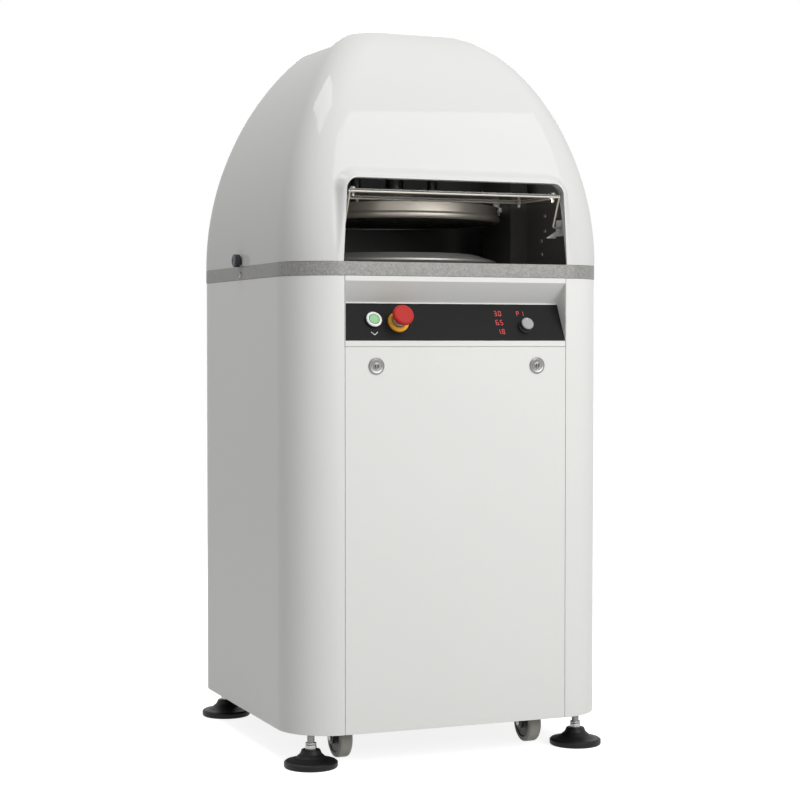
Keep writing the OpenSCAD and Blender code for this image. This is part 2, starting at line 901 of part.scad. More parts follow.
// Pulley with a lip at each edge to keep the belt on
module flanged_pulley(r) {
    post(r, belt_z, belt_z + pulley_h);
    post(r + pulley_rise, belt_z, belt_z + pulley_lip);
    post(r + pulley_rise, belt_z + pulley_h - pulley_lip, belt_z + pulley_h);
}

module bearing_housing() {
    wall = 14;
    flange = 34;
    color("dimgray") difference() {
        union() {
            post(bearing_r + wall, shaft_z, drive_z);
            post(bearing_r + wall + flange, drive_z - 12, drive_z);
        }
        post(bearing_r + run, shaft_z + 6, drive_z + eps);
    }
}

module main_bearings() {
    color("silver") for (z = [shaft_z + 6, drive_z - bearing_h]) difference() {
        post(bearing_r, z, z + bearing_h);
        post(shaft_r + run, z - eps, z + bearing_h + eps);
    }
}

// Side crank: a pin in the ring floor, a web, and a pin in the table at the orbit radius
module side_crank(x) {
    translate([x * side_crank_x, side_crank_y, 0]) {
        post(side_pin_r, cab_top, pocket_z + clear + eps);
        translate([0, orbit_e / 2, 0]) post(side_web_r, pocket_z + clear, pocket_z + clear + web_h);
        translate([0, orbit_e, 0]) post(side_pin_r, pocket_z + clear + web_h - eps, plate_z - 2);
    }
}

module side_crank_left() {
    color("silver") side_crank(-1);
}

module side_crank_right() {
    color("silver") side_crank(1);
}

module motor_pulley() {
    color("slategray") translate([motor_x, motor_y, 0]) {
        flanged_pulley(motor_pulley_r);
        post(motor_shaft_r, drive_z - motor_h / 2, belt_z + pulley_h + 5);
    }
}

// Loop round both pulleys, grown outwards by a margin
module belt_loop(grow, low, high) {
    translate([0, 0, low]) hull() {
        cylinder(r = driven_r + grow, h = high - low, $fn = 96);
        translate([motor_x, motor_y, 0]) cylinder(r = motor_pulley_r + grow, h = high - low, $fn = 96);
    }
}

module drive_belt() {
    seat = 0.4;
    low = belt_z + (pulley_h - belt_w) / 2;
    color("#202020") difference() {
        belt_loop(seat + belt_t, low, low + belt_w);
        belt_loop(seat, low - eps, low + belt_w + eps);
    }
}

module rounding_motor() {
    color("steelblue") translate([motor_x, motor_y, 0]) difference() {
        union() {
            post(motor_r, drive_z - motor_h, drive_z);
            post(motor_r + 10, drive_z - 12, drive_z);
            translate([-30, motor_r - 8, drive_z - motor_h / 2 - 40]) cube([60, 40, 80]);
        }
        post(motor_shaft_r + run, drive_z - motor_h / 2 - clear, drive_z + eps);
    }
}

// Hydraulics and electrics

tank_gap = 10;
tank_back = 55;
tank_x = tank_w - (post_x - post_w / 2 - tank_gap);
tank_y = rear_y - tank_back;
pump_fwd = 135;
tank_z = base_z + base_t;
block_h = 45;
pipe_edge = 10;

module oil_tank() {
    color("dimgray") difference() {
        union() {
            span([tank_x - tank_w, tank_y - tank_d, tank_z], [tank_x, tank_y, tank_z + tank_h]);
            span([pipe_x - 30, pipe_y - 25, tank_z + tank_h - eps],
                [pipe_x + 30, pipe_y + 25, tank_z + tank_h + block_h]);
        }
        span([tank_x - tank_w + tank_wall, tank_y - tank_d + tank_wall, tank_z + tank_wall],
            [tank_x - tank_wall, tank_y - tank_wall, tank_z + tank_h - tank_wall]);
        translate([tank_x - 40, tank_y - tank_d + 40, 0]) post(15, tank_z + tank_h / 2, tank_z + tank_h + eps);
    }
}

module pump_motor() {
    color("steelblue") translate([pipe_x - 5, pipe_y - pump_fwd, 0]) {
        post(pump_r + 8, tank_z + tank_h, tank_z + tank_h + 14);
        post(pump_r, tank_z + tank_h + 14 - eps, tank_z + tank_h + pump_h);
    }
}

module oil_pipe() {
    color("silver") {
        translate([pipe_x, pipe_y, 0]) post(pipe_r, tank_z + tank_h + block_h, port_z);
        translate([pipe_x, pipe_y, port_z]) sphere(r = pipe_r);
        translate([pipe_x, 0, port_z]) rod_y(pipe_r, port_y, pipe_y);
        translate([pipe_x, port_y, port_z]) sphere(r = pipe_r);
        translate([0, port_y, port_z]) rod_x(pipe_r, pipe_x, port_x);
    }
}

module electrical_box() {
    gap = 0.3;
    low_z = (base_z + base_t + drive_z - box_h) / 2;
    wall = 2;
    entry_r = 14;
    depth = post_y - post_w / 2 - gap;
    color("lightgray") translate([box_x, 0, low_z]) difference() {
        span([0, -depth, 0], [box_w, depth, box_h]);
        span([wall, -depth + wall, wall], [box_w - wall, depth - wall, box_h - wall]);
        translate([box_w / 2, 0, 0]) post(entry_r, -eps, 2 * wall);
    }
}

module cable_gland() {
    bore = 4;
    color("#303030") translate([gland_x, 0, gland_z]) difference() {
        union() {
            rod_y(gland_r, rear_y - 12, rear_y + gland_len);
            translate([0, rear_y, 0]) rotate([-90, 0, 0]) cylinder(r = gland_r + 5, h = 6, $fn = 6);
        }
        rod_y(bore, rear_y - 13, rear_y + gland_len + eps);
    }
}

// Press

module press_cylinder() {
    color("silver") {
        difference() {
            union() {
                post(cylinder_r, beam_top, beam_top + cylinder_h);
                span([port_x, port_y - 8, port_z - 8], [-bore_r / 2, port_y + 8, port_z + 8]);
            }
            post(bore_r, beam_top + cylinder_cap, beam_top + cylinder_h - cylinder_cap / 2);
            post(ram_r + run, beam_top - eps, beam_top + cylinder_cap + eps);
        }
    }
}

module press_ram() {
    color("gainsboro") {
        post(ram_r, ram_foot, piston_top - eps);
        post(bore_r - run, piston_top - piston_h, piston_top);
    }
}

// Two uprights and a crossbeam in one weldment, with the slotted tabs that hold the hood knobs
module press_frame() {
    tab_w = 36;
    tab_t = 3;
    tab_x = half_w - hood_wall - 4;
    knob_z = ring_top + knob_up;
    color("#3a3a3c") difference() {
        union() {
            span([-frame_half, -beam_d / 2, beam_z], [frame_half, beam_d / 2, beam_top]);
            both_sides() {
                upright();
                span([frame_half, -tab_w / 2, ring_top], [tab_x, tab_w / 2, ring_top + tab_t]);
                span([tab_x - tab_t, -tab_w / 2, ring_top], [tab_x, tab_w / 2, knob_z + 12]);
            }
        }
        post(ram_r + 2, beam_z - eps, beam_top + eps);
        for (x = [-1, 1]) translate([x * guide_x, 0, 0]) post(guide_r + run, beam_z - eps, beam_top + eps);
        both_sides() span([tab_x - tab_t - eps, -knob_stud_r - clear, knob_z - knob_stud_r - clear],
            [tab_x + eps, knob_stud_r + clear, knob_z + 20]);
    }
}

module upright() {
    difference() {
        span([upright_x, -upright_d / 2, ring_top], [frame_half, upright_d / 2, beam_z]);
        span([upright_x + upright_wall, -upright_d / 2 + upright_wall, ring_top - eps],
            [frame_half - upright_wall, upright_d / 2 - upright_wall, beam_z - upright_wall]);
    }
}

module guide_rods() {
    color("gainsboro") for (x = [-1, 1]) translate([x * guide_x, 0, 0]) post(guide_r, head_top, guide_top);
}

module head_plate() {
    color("silver") difference() {
        union() {
            post(head_r - run, head_plate_z, head_top);
            post(hub_r, head_top - eps, ram_foot);
        }
        post(press_stem_r + run, head_plate_z - eps, stem_roof);
    }
}

module press_ring() {
    outer = head_r + head_wall;
    bead = outer + bead_proud;
    color("gainsboro") rotate_extrude()
        polygon([[head_r, head_z], [outer + 1, head_z], [bead - 1, head_z + 3], [bead, head_z + 5.5],
            [bead, head_z + 9], [bead - 2, head_z + 11.5], [outer, head_z + 13.5], [outer, head_top - 3],
            [outer + 2, head_top - 3], [outer + 2, head_top], [head_r, head_top]]);
}

// Straight knives between the rings, one set per row of cells
module radial_blades(grow, low, high) {
    for (row = [0 : len(cell_rows) - 1], i = [0 : cell_rows[row] - 1])
        rotate(i * 360 / cell_rows[row])
            span([cell_edges[row], -knife_t / 2 - grow, low], [cell_edges[row + 1], knife_t / 2 + grow, high]);
}

module ring_blades(grow, low, high) {
    for (r = [knife_r1, knife_r2]) difference() {
        post(r + knife_t / 2 + grow, low, high);
        post(r - knife_t / 2 - grow, low - eps, high + eps);
    }
}

module knife_set() {
    color("silver") intersection() {
        union() {
            radial_blades(0, knife_z, knife_top);
            ring_blades(0, knife_z, knife_top);
        }
        post(head_r - run, knife_z - eps, knife_top + eps);
    }
}

module press_plates() {
    edge_clear = 1;
    stem_r1 = 4;
    color("whitesmoke") {
        difference() {
            post(head_r - edge_clear, press_z, press_z + press_t);
            radial_blades(knife_clear, press_z - eps, press_z + press_t + eps);
            ring_blades(knife_clear, press_z - eps, press_z + press_t + eps);
        }
        for (row = [0 : len(cell_rows) - 1], i = [0 : cell_rows[row] - 1])
            rotate((i + 0.5) * 360 / cell_rows[row])
                translate([(cell_edges[row] + cell_edges[row + 1]) / 2 + (row == 0 ? 6 : 0), 0, 0])
                    post(stem_r1, press_z + press_t / 2, carrier_z + eps);
        post(head_r - edge_clear - 2, carrier_z, carrier_z + carrier_t);
        post(press_stem_r, carrier_z + carrier_t - eps, carrier_z + carrier_t + press_stem_h);
    }
}

// Side plates that carry the guard, with a bent bracket at each pivot
module side_plates() {
    bracket_h = 30;
    bracket_y = pivot_y + 19;
    overlap = 40;
    color("#3a3a3c") both_sides() difference() {
        union() {
            span([frame_half, front_y + side_plate_front, ring_top],
                [frame_half + side_plate_t, -upright_d / 2 + overlap, ring_top + side_plate_h]);
            span([bracket_x, bracket_y, pivot_z - bracket_h / 2],
                [frame_half + eps, bracket_y + side_plate_t, pivot_z + bracket_h / 2]);
            span([bracket_x, pivot_y - 12, pivot_z - bracket_h / 2],
                [bracket_x + side_plate_t, bracket_y + eps, pivot_z + bracket_h / 2]);
        }
        translate([0, pivot_y, pivot_z]) rod_x(rod_r + run, bracket_x - eps, bracket_x + side_plate_t + eps);
        for (b = side_bolts) translate([0, front_y + b[0], ring_top + b[1]])
            rod_x(screw_r + run, frame_half - eps, frame_half + side_plate_t + eps);
    }
}

sensor_r = 7;
sensor_x = upright_x - sensor_r - 0.8;
sensor_y = -17;

module head_sensor() {
    low = head_z + 14.5;
    color("gainsboro") translate([sensor_x, sensor_y, 0]) {
        post(sensor_r, low, low + 32);
        span([0, -sensor_r, low + 12], [upright_x - sensor_x, sensor_r, low + 22]);
    }
}

// Guard

module guard_frame() {
    arm = [guard_front - pivot_back, guard_z - pivot_z];
    stub = bracket_x + side_plate_t + 3;
    clamp_r = 5;
    clamp_h = 4;
    clamp_in = 9;
    color("gainsboro") {
        for (y = [guard_front, guard_rear])
            translate([0, front_y + y, guard_z]) rod_x(rod_r, -guard_half, guard_half);
        both_sides() {
            translate([guard_half, 0, guard_z]) rod_y(rod_r, front_y + guard_front, front_y + guard_rear);
            for (y = [guard_front, guard_rear]) {
                translate([guard_half, front_y + y, guard_z]) sphere(r = rod_r);
                translate([guard_half - clamp_in, front_y + y + (y == guard_front ? clamp_in : -clamp_in), 0])
                    post(clamp_r, guard_z + rod_r + guard_t, guard_z + rod_r + guard_t + clamp_h);
            }
            translate([guard_half, pivot_y, pivot_z]) {
                rotate([-atan2(arm[0], arm[1]), 0, 0]) cylinder(r = rod_r, h = norm(arm));
                sphere(r = rod_r);
                rod_x(rod_r, 0, stub - guard_half);
            }
        }
    }
}

module guard_panel() {
    lap = 2;
    color("lightblue", 0.4) span([-guard_half - lap, front_y + guard_front - lap, guard_z + rod_r],
        [guard_half + lap, front_y + guard_rear + lap, guard_z + rod_r + guard_t]);
}

// Hood

// Rounded rectangle at one level of the dome
function hood_ring(t, inset) =
    let (
        a = ridge_half - inset + (half_w - ridge_half) * pow(1 - pow(t, side_swell), 1 / side_round),
        b = (rear_y - inset) * pow(1 - pow(t, front_swell), 1 / front_round),
        r = min(hood_corner_r * (1 - hood_corner_ease * t) - inset, a - 1, b - 1),
        z = ring_top + (hood_h - inset) * t
    )
    [for (corner = [0 : 3], i = [0 : hood_arc])
        let (
            turn = 90 * corner + 90 * i / hood_arc,
            sx = (corner == 0 || corner == 3) ? 1 : -1,
            sy = (corner < 2) ? 1 : -1
        )
        [sx * (a - r) + r * cos(turn), sy * (b - r) + r * sin(turn), z]];

function hood_level(i) = hood_end * (1 - pow(1 - i / hood_rings, 2.2));

module dome(inset) {
    n = 4 * (hood_arc + 1);
    points = [for (i = [0 : hood_rings]) each hood_ring(hood_level(i), inset)];
    walls = [for (i = [0 : hood_rings - 1], k = [0 : n - 1])
        let (p = i * n + k, q = i * n + (k + 1) % n) each [[p, p + n, q + n], [p, q + n, q]]];
    foot = [[for (k = [0 : n - 1]) k]];
    cap = [[for (k = [n - 1 : -1 : 0]) hood_rings * n + k]];
    polyhedron(points, concat(walls, foot, cap), convexity = 4);
}

// Outline of the window, grown outwards by a margin
module window_outline(grow) {
    r = window_r + grow;
    hull() {
        for (s = [-1, 1])
            translate([s * (window_top_half + grow - r), ring_top + window_h + grow - r])
                circle(r = r, $fn = 32);
        translate([-window_half - grow, ring_top]) square([2 * (window_half + grow), eps]);
    }
}

// Window outline drawn out between two depths
module window_slab(grow, low, high) {
    translate([0, high, 0]) rotate([90, 0, 0]) linear_extrude(high - low) window_outline(grow);
}

module hood() {
    rim_depth = 40;
    color("white") difference() {
        union() {
            dome(0);
            hull() {
                window_slab(rim_w, front_y, front_y + 1);
                window_slab(rim_w + rim_spread, front_y + rim_depth, front_y + rim_depth + 1);
            }
        }
        translate([0, 0, -eps]) dome_cut();
        translate([0, 0, -eps]) window_slab(0, front_y - eps, front_y + 90);
        translate([0, 0, ring_top + knob_up]) rod_x(knob_stud_r + clear, -half_w - eps, half_w + eps);
    }
}

// Hollow of the hood, dropped a little so that its foot is open
module dome_cut() {
    translate([0, 0, eps]) dome(hood_wall);
    translate([0, 0, ring_top]) linear_extrude(2 * eps)
        polygon([for (p = hood_ring(0, hood_wall)) [p[0], p[1]]]);
}

module hood_knob() {
    inner = half_w - hood_wall - 12;
    face = half_w + ring_proud + clear;
    translate([0, 0, ring_top + knob_up]) {
        rod_x(knob_r, face, face + knob_len);
        rod_x(knob_stud_r, inner, face + eps);
    }
}

module hood_knob_left() {
    color("#28242c") mirror([1, 0, 0]) hood_knob();
}

module hood_knob_right() {
    color("#28242c") hood_knob();
}

// Feet and castors

module foot(x, y) {
    neck_r = 17;
    rim_h = 12;
    nut_h = 12;
    nut_r = spindle_r + 4;
    socket = foot_h - 18;
    top = base_z + base_t + boss_h + 14;
    translate([x * foot_x, y * foot_y, 0]) {
        color("#1c1c1c") rotate_extrude() polygon([[0, 0], [foot_r - 2, 0], [foot_r, 3], [foot_r, rim_h - 2],
            [foot_r - 3, rim_h], [neck_r + 12, rim_h + 6], [neck_r + 3, foot_h - 6], [neck_r, foot_h],
            [spindle_r + run, foot_h], [spindle_r + run, socket], [0, socket]]);
        color("silver") {
            post(spindle_r, socket + run, top);
            translate([0, 0, foot_h + run]) cylinder(r = nut_r, h = nut_h, $fn = 6);
        }
    }
}

module foot_front_left() {
    foot(-1, -1);
}

module foot_front_right() {
    foot(1, -1);
}

module foot_rear_left() {
    foot(-1, 1);
}

module foot_rear_right() {
    foot(1, 1);
}

// Fork with its riveted axle
module castor_fork() {
    in = wheel_w / 2 + fork_gap;
    cheek = 34;
    post_r = 13;
    span([-in - fork_t, -cheek, base_z - fork_t], [in + fork_t, cheek, base_z]);
    for (s = [-1, 1]) {
        low = s > 0 ? in : -in - fork_t;
        span([low, -post_r, wheel_z], [low + fork_t, cheek, base_z - fork_t]);
        translate([0, 0, wheel_z]) rod_x(post_r, low, low + fork_t);
    }
    translate([0, 0, wheel_z]) rod_x(axle_r, -in - fork_t - 2, in + fork_t + 2);
}

module castor_forks() {
    color("#303030") for (x = [-1, 1], y = [-1, 1]) translate([x * castor_x, y * castor_y, 0]) castor_fork();
}

module castor_wheel(x, y) {
    dish = 4;
    hub = axle_r + 8;
    color("gray") translate([x * castor_x, y * castor_y, wheel_z]) rotate([0, 90, 0]) rotate_extrude()
        polygon([[axle_r + run, -wheel_w / 2], [hub, -wheel_w / 2], [hub, dish - wheel_w / 2],
            [wheel_r - 9, dish - wheel_w / 2], [wheel_r - 7, -wheel_w / 2 + 2], [wheel_r - 2, -wheel_w / 2 + 2],
            [wheel_r, -wheel_w / 2 + 5], [wheel_r, wheel_w / 2 - 5], [wheel_r - 2, wheel_w / 2 - 2],
            [wheel_r - 7, wheel_w / 2 - 2], [wheel_r - 9, wheel_w / 2 - dish], [hub, wheel_w / 2 - dish],
            [hub, wheel_w / 2], [axle_r + run, wheel_w / 2]]);
}

module castor_wheel_front_left() {
    castor_wheel(-1, -1);
}

module castor_wheel_front_right() {
    castor_wheel(1, -1);
}

module castor_wheel_rear_left() {
    castor_wheel(-1, 1);
}

module castor_wheel_rear_right() {
    castor_wheel(1, 1);
}

base_frame();
side_cover_left();
side_cover_right();
rear_cover();
screws();
access_panel();
lock_housings();
lock_cam_left();
lock_cam_right();
control_console();
control_fascia();
display_digits();
start_button_body();
start_button_cap();
estop_base();
estop_stem();
estop_mushroom();
dial_encoder();
dial_knob();
top_ring();
rounding_table();
moulding_plate();
main_crank();
driven_pulley();
bearing_housing();
main_bearings();
side_crank_left();
side_crank_right();
motor_pulley();
drive_belt();
rounding_motor();
oil_tank();
pump_motor();
oil_pipe();
electrical_box();
cable_gland();
press_cylinder();
press_ram();
press_frame();
guide_rods();
head_plate();
press_ring();
knife_set();
press_plates();
side_plates();
head_sensor();
guard_frame();
guard_panel();
hood();
hood_knob_left();
hood_knob_right();
foot_front_left();
foot_front_right();
foot_rear_left();
foot_rear_right();
castor_forks();
castor_wheel_front_left();
castor_wheel_front_right();
castor_wheel_rear_left();
castor_wheel_rear_right();
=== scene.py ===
"""Looks of the dough divider rounder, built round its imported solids."""

import math

import bmesh
import bpy
from bpy.props import FloatProperty, FloatVectorProperty, PointerProperty
from mathutils import Matrix, Vector


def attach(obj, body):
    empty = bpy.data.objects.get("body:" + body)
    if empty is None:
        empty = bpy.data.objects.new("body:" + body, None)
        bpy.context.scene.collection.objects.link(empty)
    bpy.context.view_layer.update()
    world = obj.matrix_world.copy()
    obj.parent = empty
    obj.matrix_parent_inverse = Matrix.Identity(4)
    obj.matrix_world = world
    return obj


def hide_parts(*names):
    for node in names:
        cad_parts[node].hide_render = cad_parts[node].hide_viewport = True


bl_info = {
    "name": "Divider rounder",
    "version": (1, 0, 0),
    "blender": (4, 5, 0),
    "location": "View3D > Sidebar > Rounder",
    "description": "Builds the looks of a dough divider rounder round its solids",
    "category": "Object",
}

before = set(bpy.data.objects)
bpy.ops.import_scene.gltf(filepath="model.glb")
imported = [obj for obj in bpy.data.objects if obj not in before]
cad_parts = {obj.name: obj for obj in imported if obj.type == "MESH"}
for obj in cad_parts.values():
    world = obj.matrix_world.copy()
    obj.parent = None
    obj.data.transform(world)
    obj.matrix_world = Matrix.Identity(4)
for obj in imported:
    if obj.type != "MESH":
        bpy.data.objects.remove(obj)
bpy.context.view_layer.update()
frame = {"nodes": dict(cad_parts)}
NODES = frame["nodes"]

# Sizes of the solids, in millimetres
MM = 0.001
HALF_W = 320.0
FRONT = -317.0
REAR = 317.0
CORNER_R = 97.0
SKIRT = 64.0
CABINET_TOP = 898.0
RING_TOP = 924.0
PANEL_HALF = 222.0
SHEET = 2.0
CONSOLE_LOW = 770.0
SLOPE_FOOT = (-316.0, 780.0)
SLOPE_EDGE = (-279.0, 851.0)
LIP = 889.0
TILT = math.atan2(SLOPE_EDGE[0] - SLOPE_FOOT[0], SLOPE_EDGE[1] - SLOPE_FOOT[1])
SLOPE_LEN = math.hypot(SLOPE_EDGE[0] - SLOPE_FOOT[0], SLOPE_EDGE[1] - SLOPE_FOOT[1])
FASCIA = 1.5
START = (-161.0, 41.0)
STOP = (-113.0, 37.0)
DIAL = (143.0, 29.0)
HOOD_H = 463.5
WINDOW_H = 152.0
WINDOW_HALF = 225.0
WINDOW_TAPER = 8.0
WINDOW_R = 22.0
PANEL_TOP = 769.0
LOCK = (162.0, 734.0)
KNOB_Z = 935.0
PLATE_Y = 8.0
GUARD_PIVOT = (-285.0, 995.0)
FOOT = (271.0, 266.0)
CASTOR = (194.5, 212.0)
AXLE_Z = 39.5
SIDES = (("left", -1.0), ("right", 1.0))
DEPTHS = (("front", -1.0), ("rear", 1.0))


def srgb(red, green, blue):
    """Linear colour of a screen colour from 0 to 255."""

    def part(value):
        value /= 255.0
        return value / 12.92 if value <= 0.04045 else ((value + 0.055) / 1.055) ** 2.4

    return (part(red), part(green), part(blue))


def length(name, description, default):
    return FloatProperty(name=name, description=description, default=default, min=0.0, unit="LENGTH")


def colour(name, description, red, green, blue):
    return FloatVectorProperty(
        name=name, description=description, default=srgb(red, green, blue), subtype="COLOR", min=0.0, max=1.0
    )


class RounderSizes(bpy.types.PropertyGroup):
    """Sizes of the finishing work on the machine."""

    sheet_edge: length("Sheet edge", "Rounding of the cover sheets' edges", 0.0007)
    ring_edge: length("Ring edge", "Rounding of the cast ring's edges", 0.0016)
    hood_wall: length("Hood wall", "Thickness of the hood's shell", 0.004)
    rim_width: length("Rim width", "Width of the flat border round the window", 0.009)
    rim_blend: length("Rim blend", "Softness of the hollow where the rim meets the dome", 0.016)
    wire: length("Guard wire", "Radius of the guard's wire", 0.002)


class RounderColours(bpy.types.PropertyGroup):
    """Colours of the machine's finishes."""

    hood: colour("Hood", "Glossy moulded hood", 215, 215, 213)
    covers: colour("Covers", "Powder coat of the cabinet", 228, 228, 225)
    ring: colour("Ring", "Speckled coat of the cast ring", 146, 145, 142)
    fascia: colour("Fascia", "Dark film on the sloped control face", 28, 28, 29)
    frame: colour("Frame", "Dark paint of the press frame", 66, 65, 63)
    steel: colour("Steel", "Turned stainless steel", 154, 148, 139)
    digits: colour("Digits", "Lit numbers", 226, 72, 70)
    green: colour("Start", "Start button's cap", 118, 180, 120)
    red: colour("Stop", "Stop button's mushroom", 182, 48, 44)
    yellow: colour("Collar", "Stop button's collar", 244, 176, 34)
    tread: colour("Tread", "Castor tread", 182, 181, 173)


class RounderLight(bpy.types.PropertyGroup):
    """Strengths of the studio lamps."""

    key: FloatProperty(name="Key", description="Power of the large soft box at the front right", default=84.0)
    top: FloatProperty(name="Top", description="Power of the soft box overhead", default=20.0)
    rear: FloatProperty(name="Rear", description="Power of the soft box behind the machine", default=32.0)
    bay: FloatProperty(name="Bay", description="Power of the strip lamp under the guard", default=0.28)
    loft: FloatProperty(name="Loft", description="Power of the strip lamp over the guard", default=0.4)
    room: FloatProperty(name="Room", description="Strength of the room's own light", default=0.31)


def sizes():
    return bpy.context.scene.rounder_sizes


def colours():
    return bpy.context.scene.rounder_colours


# Node groups and finishes


def node(tree, kind, inputs=None, **settings):
    """A shader node with its settings, and with its inputs linked or set."""
    made = tree.nodes.new("ShaderNode" + kind)
    for key, value in settings.items():
        setattr(made, key, value)
    for key, value in (inputs or {}).items():
        if isinstance(value, bpy.types.NodeSocket):
            tree.links.new(value, made.inputs[key])
        else:
            made.inputs[key].default_value = value
    return made


def maths(tree, operation, first, second=0.0, third=0.0):
    return node(tree, "Math", {0: first, 1: second, 2: third}, operation=operation).outputs[0]


def blend(tree, first, share, second, rest):
    """Sum of a share of one value and a share of another."""
    return maths(tree, "MULTIPLY_ADD", first, share, maths(tree, "MULTIPLY", second, rest))


def effect(name, inputs, make):
    """A node group that puts out a tone from 0 to 1 and a height, built once."""
    tree = bpy.data.node_groups.get(name)
    if tree:
        return tree
    tree = bpy.data.node_groups.new(name, "ShaderNodeTree")
    for label, (kind, value) in inputs.items():
        socket = tree.interface.new_socket(label, in_out="INPUT", socket_type=kind)
        socket.default_value = value
    for label in ("Tone", "Height"):
        tree.interface.new_socket(label, in_out="OUTPUT", socket_type="NodeSocketFloat")
    entry = tree.nodes.new("NodeGroupInput")
    leave = tree.nodes.new("NodeGroupOutput")
    place = tree.nodes.new("ShaderNodeTexCoord").outputs["Object"]
    tone, height = make(tree, entry.outputs, place)
    tree.links.new(tone, leave.inputs["Tone"])
    tree.links.new(height, leave.inputs["Height"])
    return tree


FLOAT = "NodeSocketFloat"
VECTOR = "NodeSocketVector"


def make_skin(tree, given, place):
    """Orange peel of paint or moulded plastic, with faint clouds and wipe marks."""
    peel = node(tree, "TexNoise", {"Vector": place, "Scale": given["Grain"], "Detail": 2.0})
    cloud = node(tree, "TexNoise", {"Vector": place, "Scale": given["Cloud"], "Detail": 3.0, "Roughness": 0.6})
    return blend(tree, peel.outputs[0], 0.3, cloud.outputs[0], 0.7), peel.outputs[0]


def make_speckle(tree, given, place):
    """Light and dark grains of a hammered coat."""
    fine = node(tree, "TexNoise", {"Vector": place, "Scale": given["Grain"], "Detail": 1.5, "Roughness": 0.7})
    broad = node(tree, "TexNoise", {"Vector": place, "Scale": maths(tree, "MULTIPLY", given["Grain"], 0.3)})
    both = blend(tree, broad.outputs[0], 0.4, fine.outputs[0], 0.6)
    tone = node(tree, "MapRange", {"Value": both, "From Min": 0.36, "From Max": 0.64})
    return tone.outputs[0], both


def make_brushed(tree, given, place):
    """Fine lines along one direction, as a belt leaves them."""
    drawn = node(tree, "Mapping", {"Vector": place, "Scale": given["Lines"]})
    lines = node(tree, "TexNoise", {"Vector": drawn.outputs[0], "Scale": 1.0, "Detail": 5.0, "Roughness": 0.65})
    cloud = node(tree, "TexNoise", {"Vector": place, "Scale": 9.0, "Detail": 2.0})
    return blend(tree, lines.outputs[0], 0.7, cloud.outputs[0], 0.3), lines.outputs[0]


def make_turned(tree, given, place):
    """Rings round an upright axis, as a lathe tool leaves them."""
    flat = node(tree, "VectorMath", {0: place, 1: given["Centre"]}, operation="SUBTRACT")
    flat = node(tree, "VectorMath", {0: flat.outputs[0], 1: (1.0, 1.0, 0.0)}, operation="MULTIPLY")
    radius = node(tree, "VectorMath", {0: flat.outputs[0]}, operation="LENGTH").outputs["Value"]
    level = node(tree, "SeparateXYZ", {0: place}).outputs["Z"]
    run = maths(tree, "ADD", radius, maths(tree, "MULTIPLY", level, 1.3))
    rings = node(tree, "TexNoise", {"W": run, "Scale": given["Rings"], "Detail": 4.0, "Roughness": 0.7},
                 noise_dimensions="1D")
    cloud = node(tree, "TexNoise", {"Vector": place, "Scale": 14.0, "Detail": 2.0})
    return blend(tree, rings.outputs[0], 0.65, cloud.outputs[0], 0.35), rings.outputs[0]


def make_cast(tree, given, place):
    """Pits and soft lumps of a rubber moulding or a rough casting."""
    cells = node(tree, "TexVoronoi", {"Vector": place, "Scale": given["Grain"]})
    cloud = node(tree, "TexNoise", {"Vector": place, "Scale": given["Cloud"], "Detail": 4.0})
    pits = cells.outputs["Distance"]
    return blend(tree, pits, 0.5, cloud.outputs[0], 0.6), pits


def effects():
    """The machine's surface effects by name, each made once."""
    return {
        "skin": effect("Skin", {"Grain": (FLOAT, 900.0), "Cloud": (FLOAT, 5.0)}, make_skin),
        "speckle": effect("Speckle", {"Grain": (FLOAT, 700.0)}, make_speckle),
        "brushed": effect("Brushed", {"Lines": (VECTOR, (20.0, 20.0, 2500.0))}, make_brushed),
        "turned": effect("Turned", {"Rings": (FLOAT, 900.0), "Centre": (VECTOR, (0.0, 0.0, 0.0))}, make_turned),
        "cast": effect("Cast", {"Grain": (FLOAT, 900.0), "Cloud": (FLOAT, 40.0)}, make_cast),
    }


def finish(name, tint, rough, kind, values=None, spread=0.05, span=0.05, bump=0.1, reach=0.0002, **sockets):
    """A material whose colour, roughness and relief follow a surface effect.

    Spread is the share by which the colour varies, span how far the roughness does, and bump and reach are
    the relief's strength and depth. Other sockets of the shader are given by name.
    """
    name = "finish_" + name
    made = bpy.data.materials.get(name)
    if made:
        return made
    made = bpy.data.materials.new(name)
    made.use_nodes = True
    tree = made.node_tree
    shader = tree.nodes["Principled BSDF"]
    group = node(tree, "Group", node_tree=effects()[kind])
    for key, value in (values or {}).items():
        group.inputs[key].default_value = value
    dark = [max(0.0, c * (1.0 - spread)) for c in tint] + [1.0]
    light = [min(1.0, c * (1.0 + spread)) for c in tint] + [1.0]
    tone = group.outputs["Tone"]
    ramp = node(tree, "Mix", {"Factor": tone, 6: dark, 7: light}, data_type="RGBA")
    tree.links.new(ramp.outputs[2], shader.inputs["Base Color"])
    gloss = node(tree, "MapRange", {"Value": tone, "To Min": max(0.0, rough - span), "To Max": rough + span})
    tree.links.new(gloss.outputs[0], shader.inputs["Roughness"])
    relief = node(tree, "Bump", {"Strength": bump, "Distance": reach, "Height": group.outputs["Height"]})
    tree.links.new(relief.outputs[0], shader.inputs["Normal"])
    for key, value in sockets.items():
        shader.inputs[key.replace("_", " ")].default_value = value
    return made


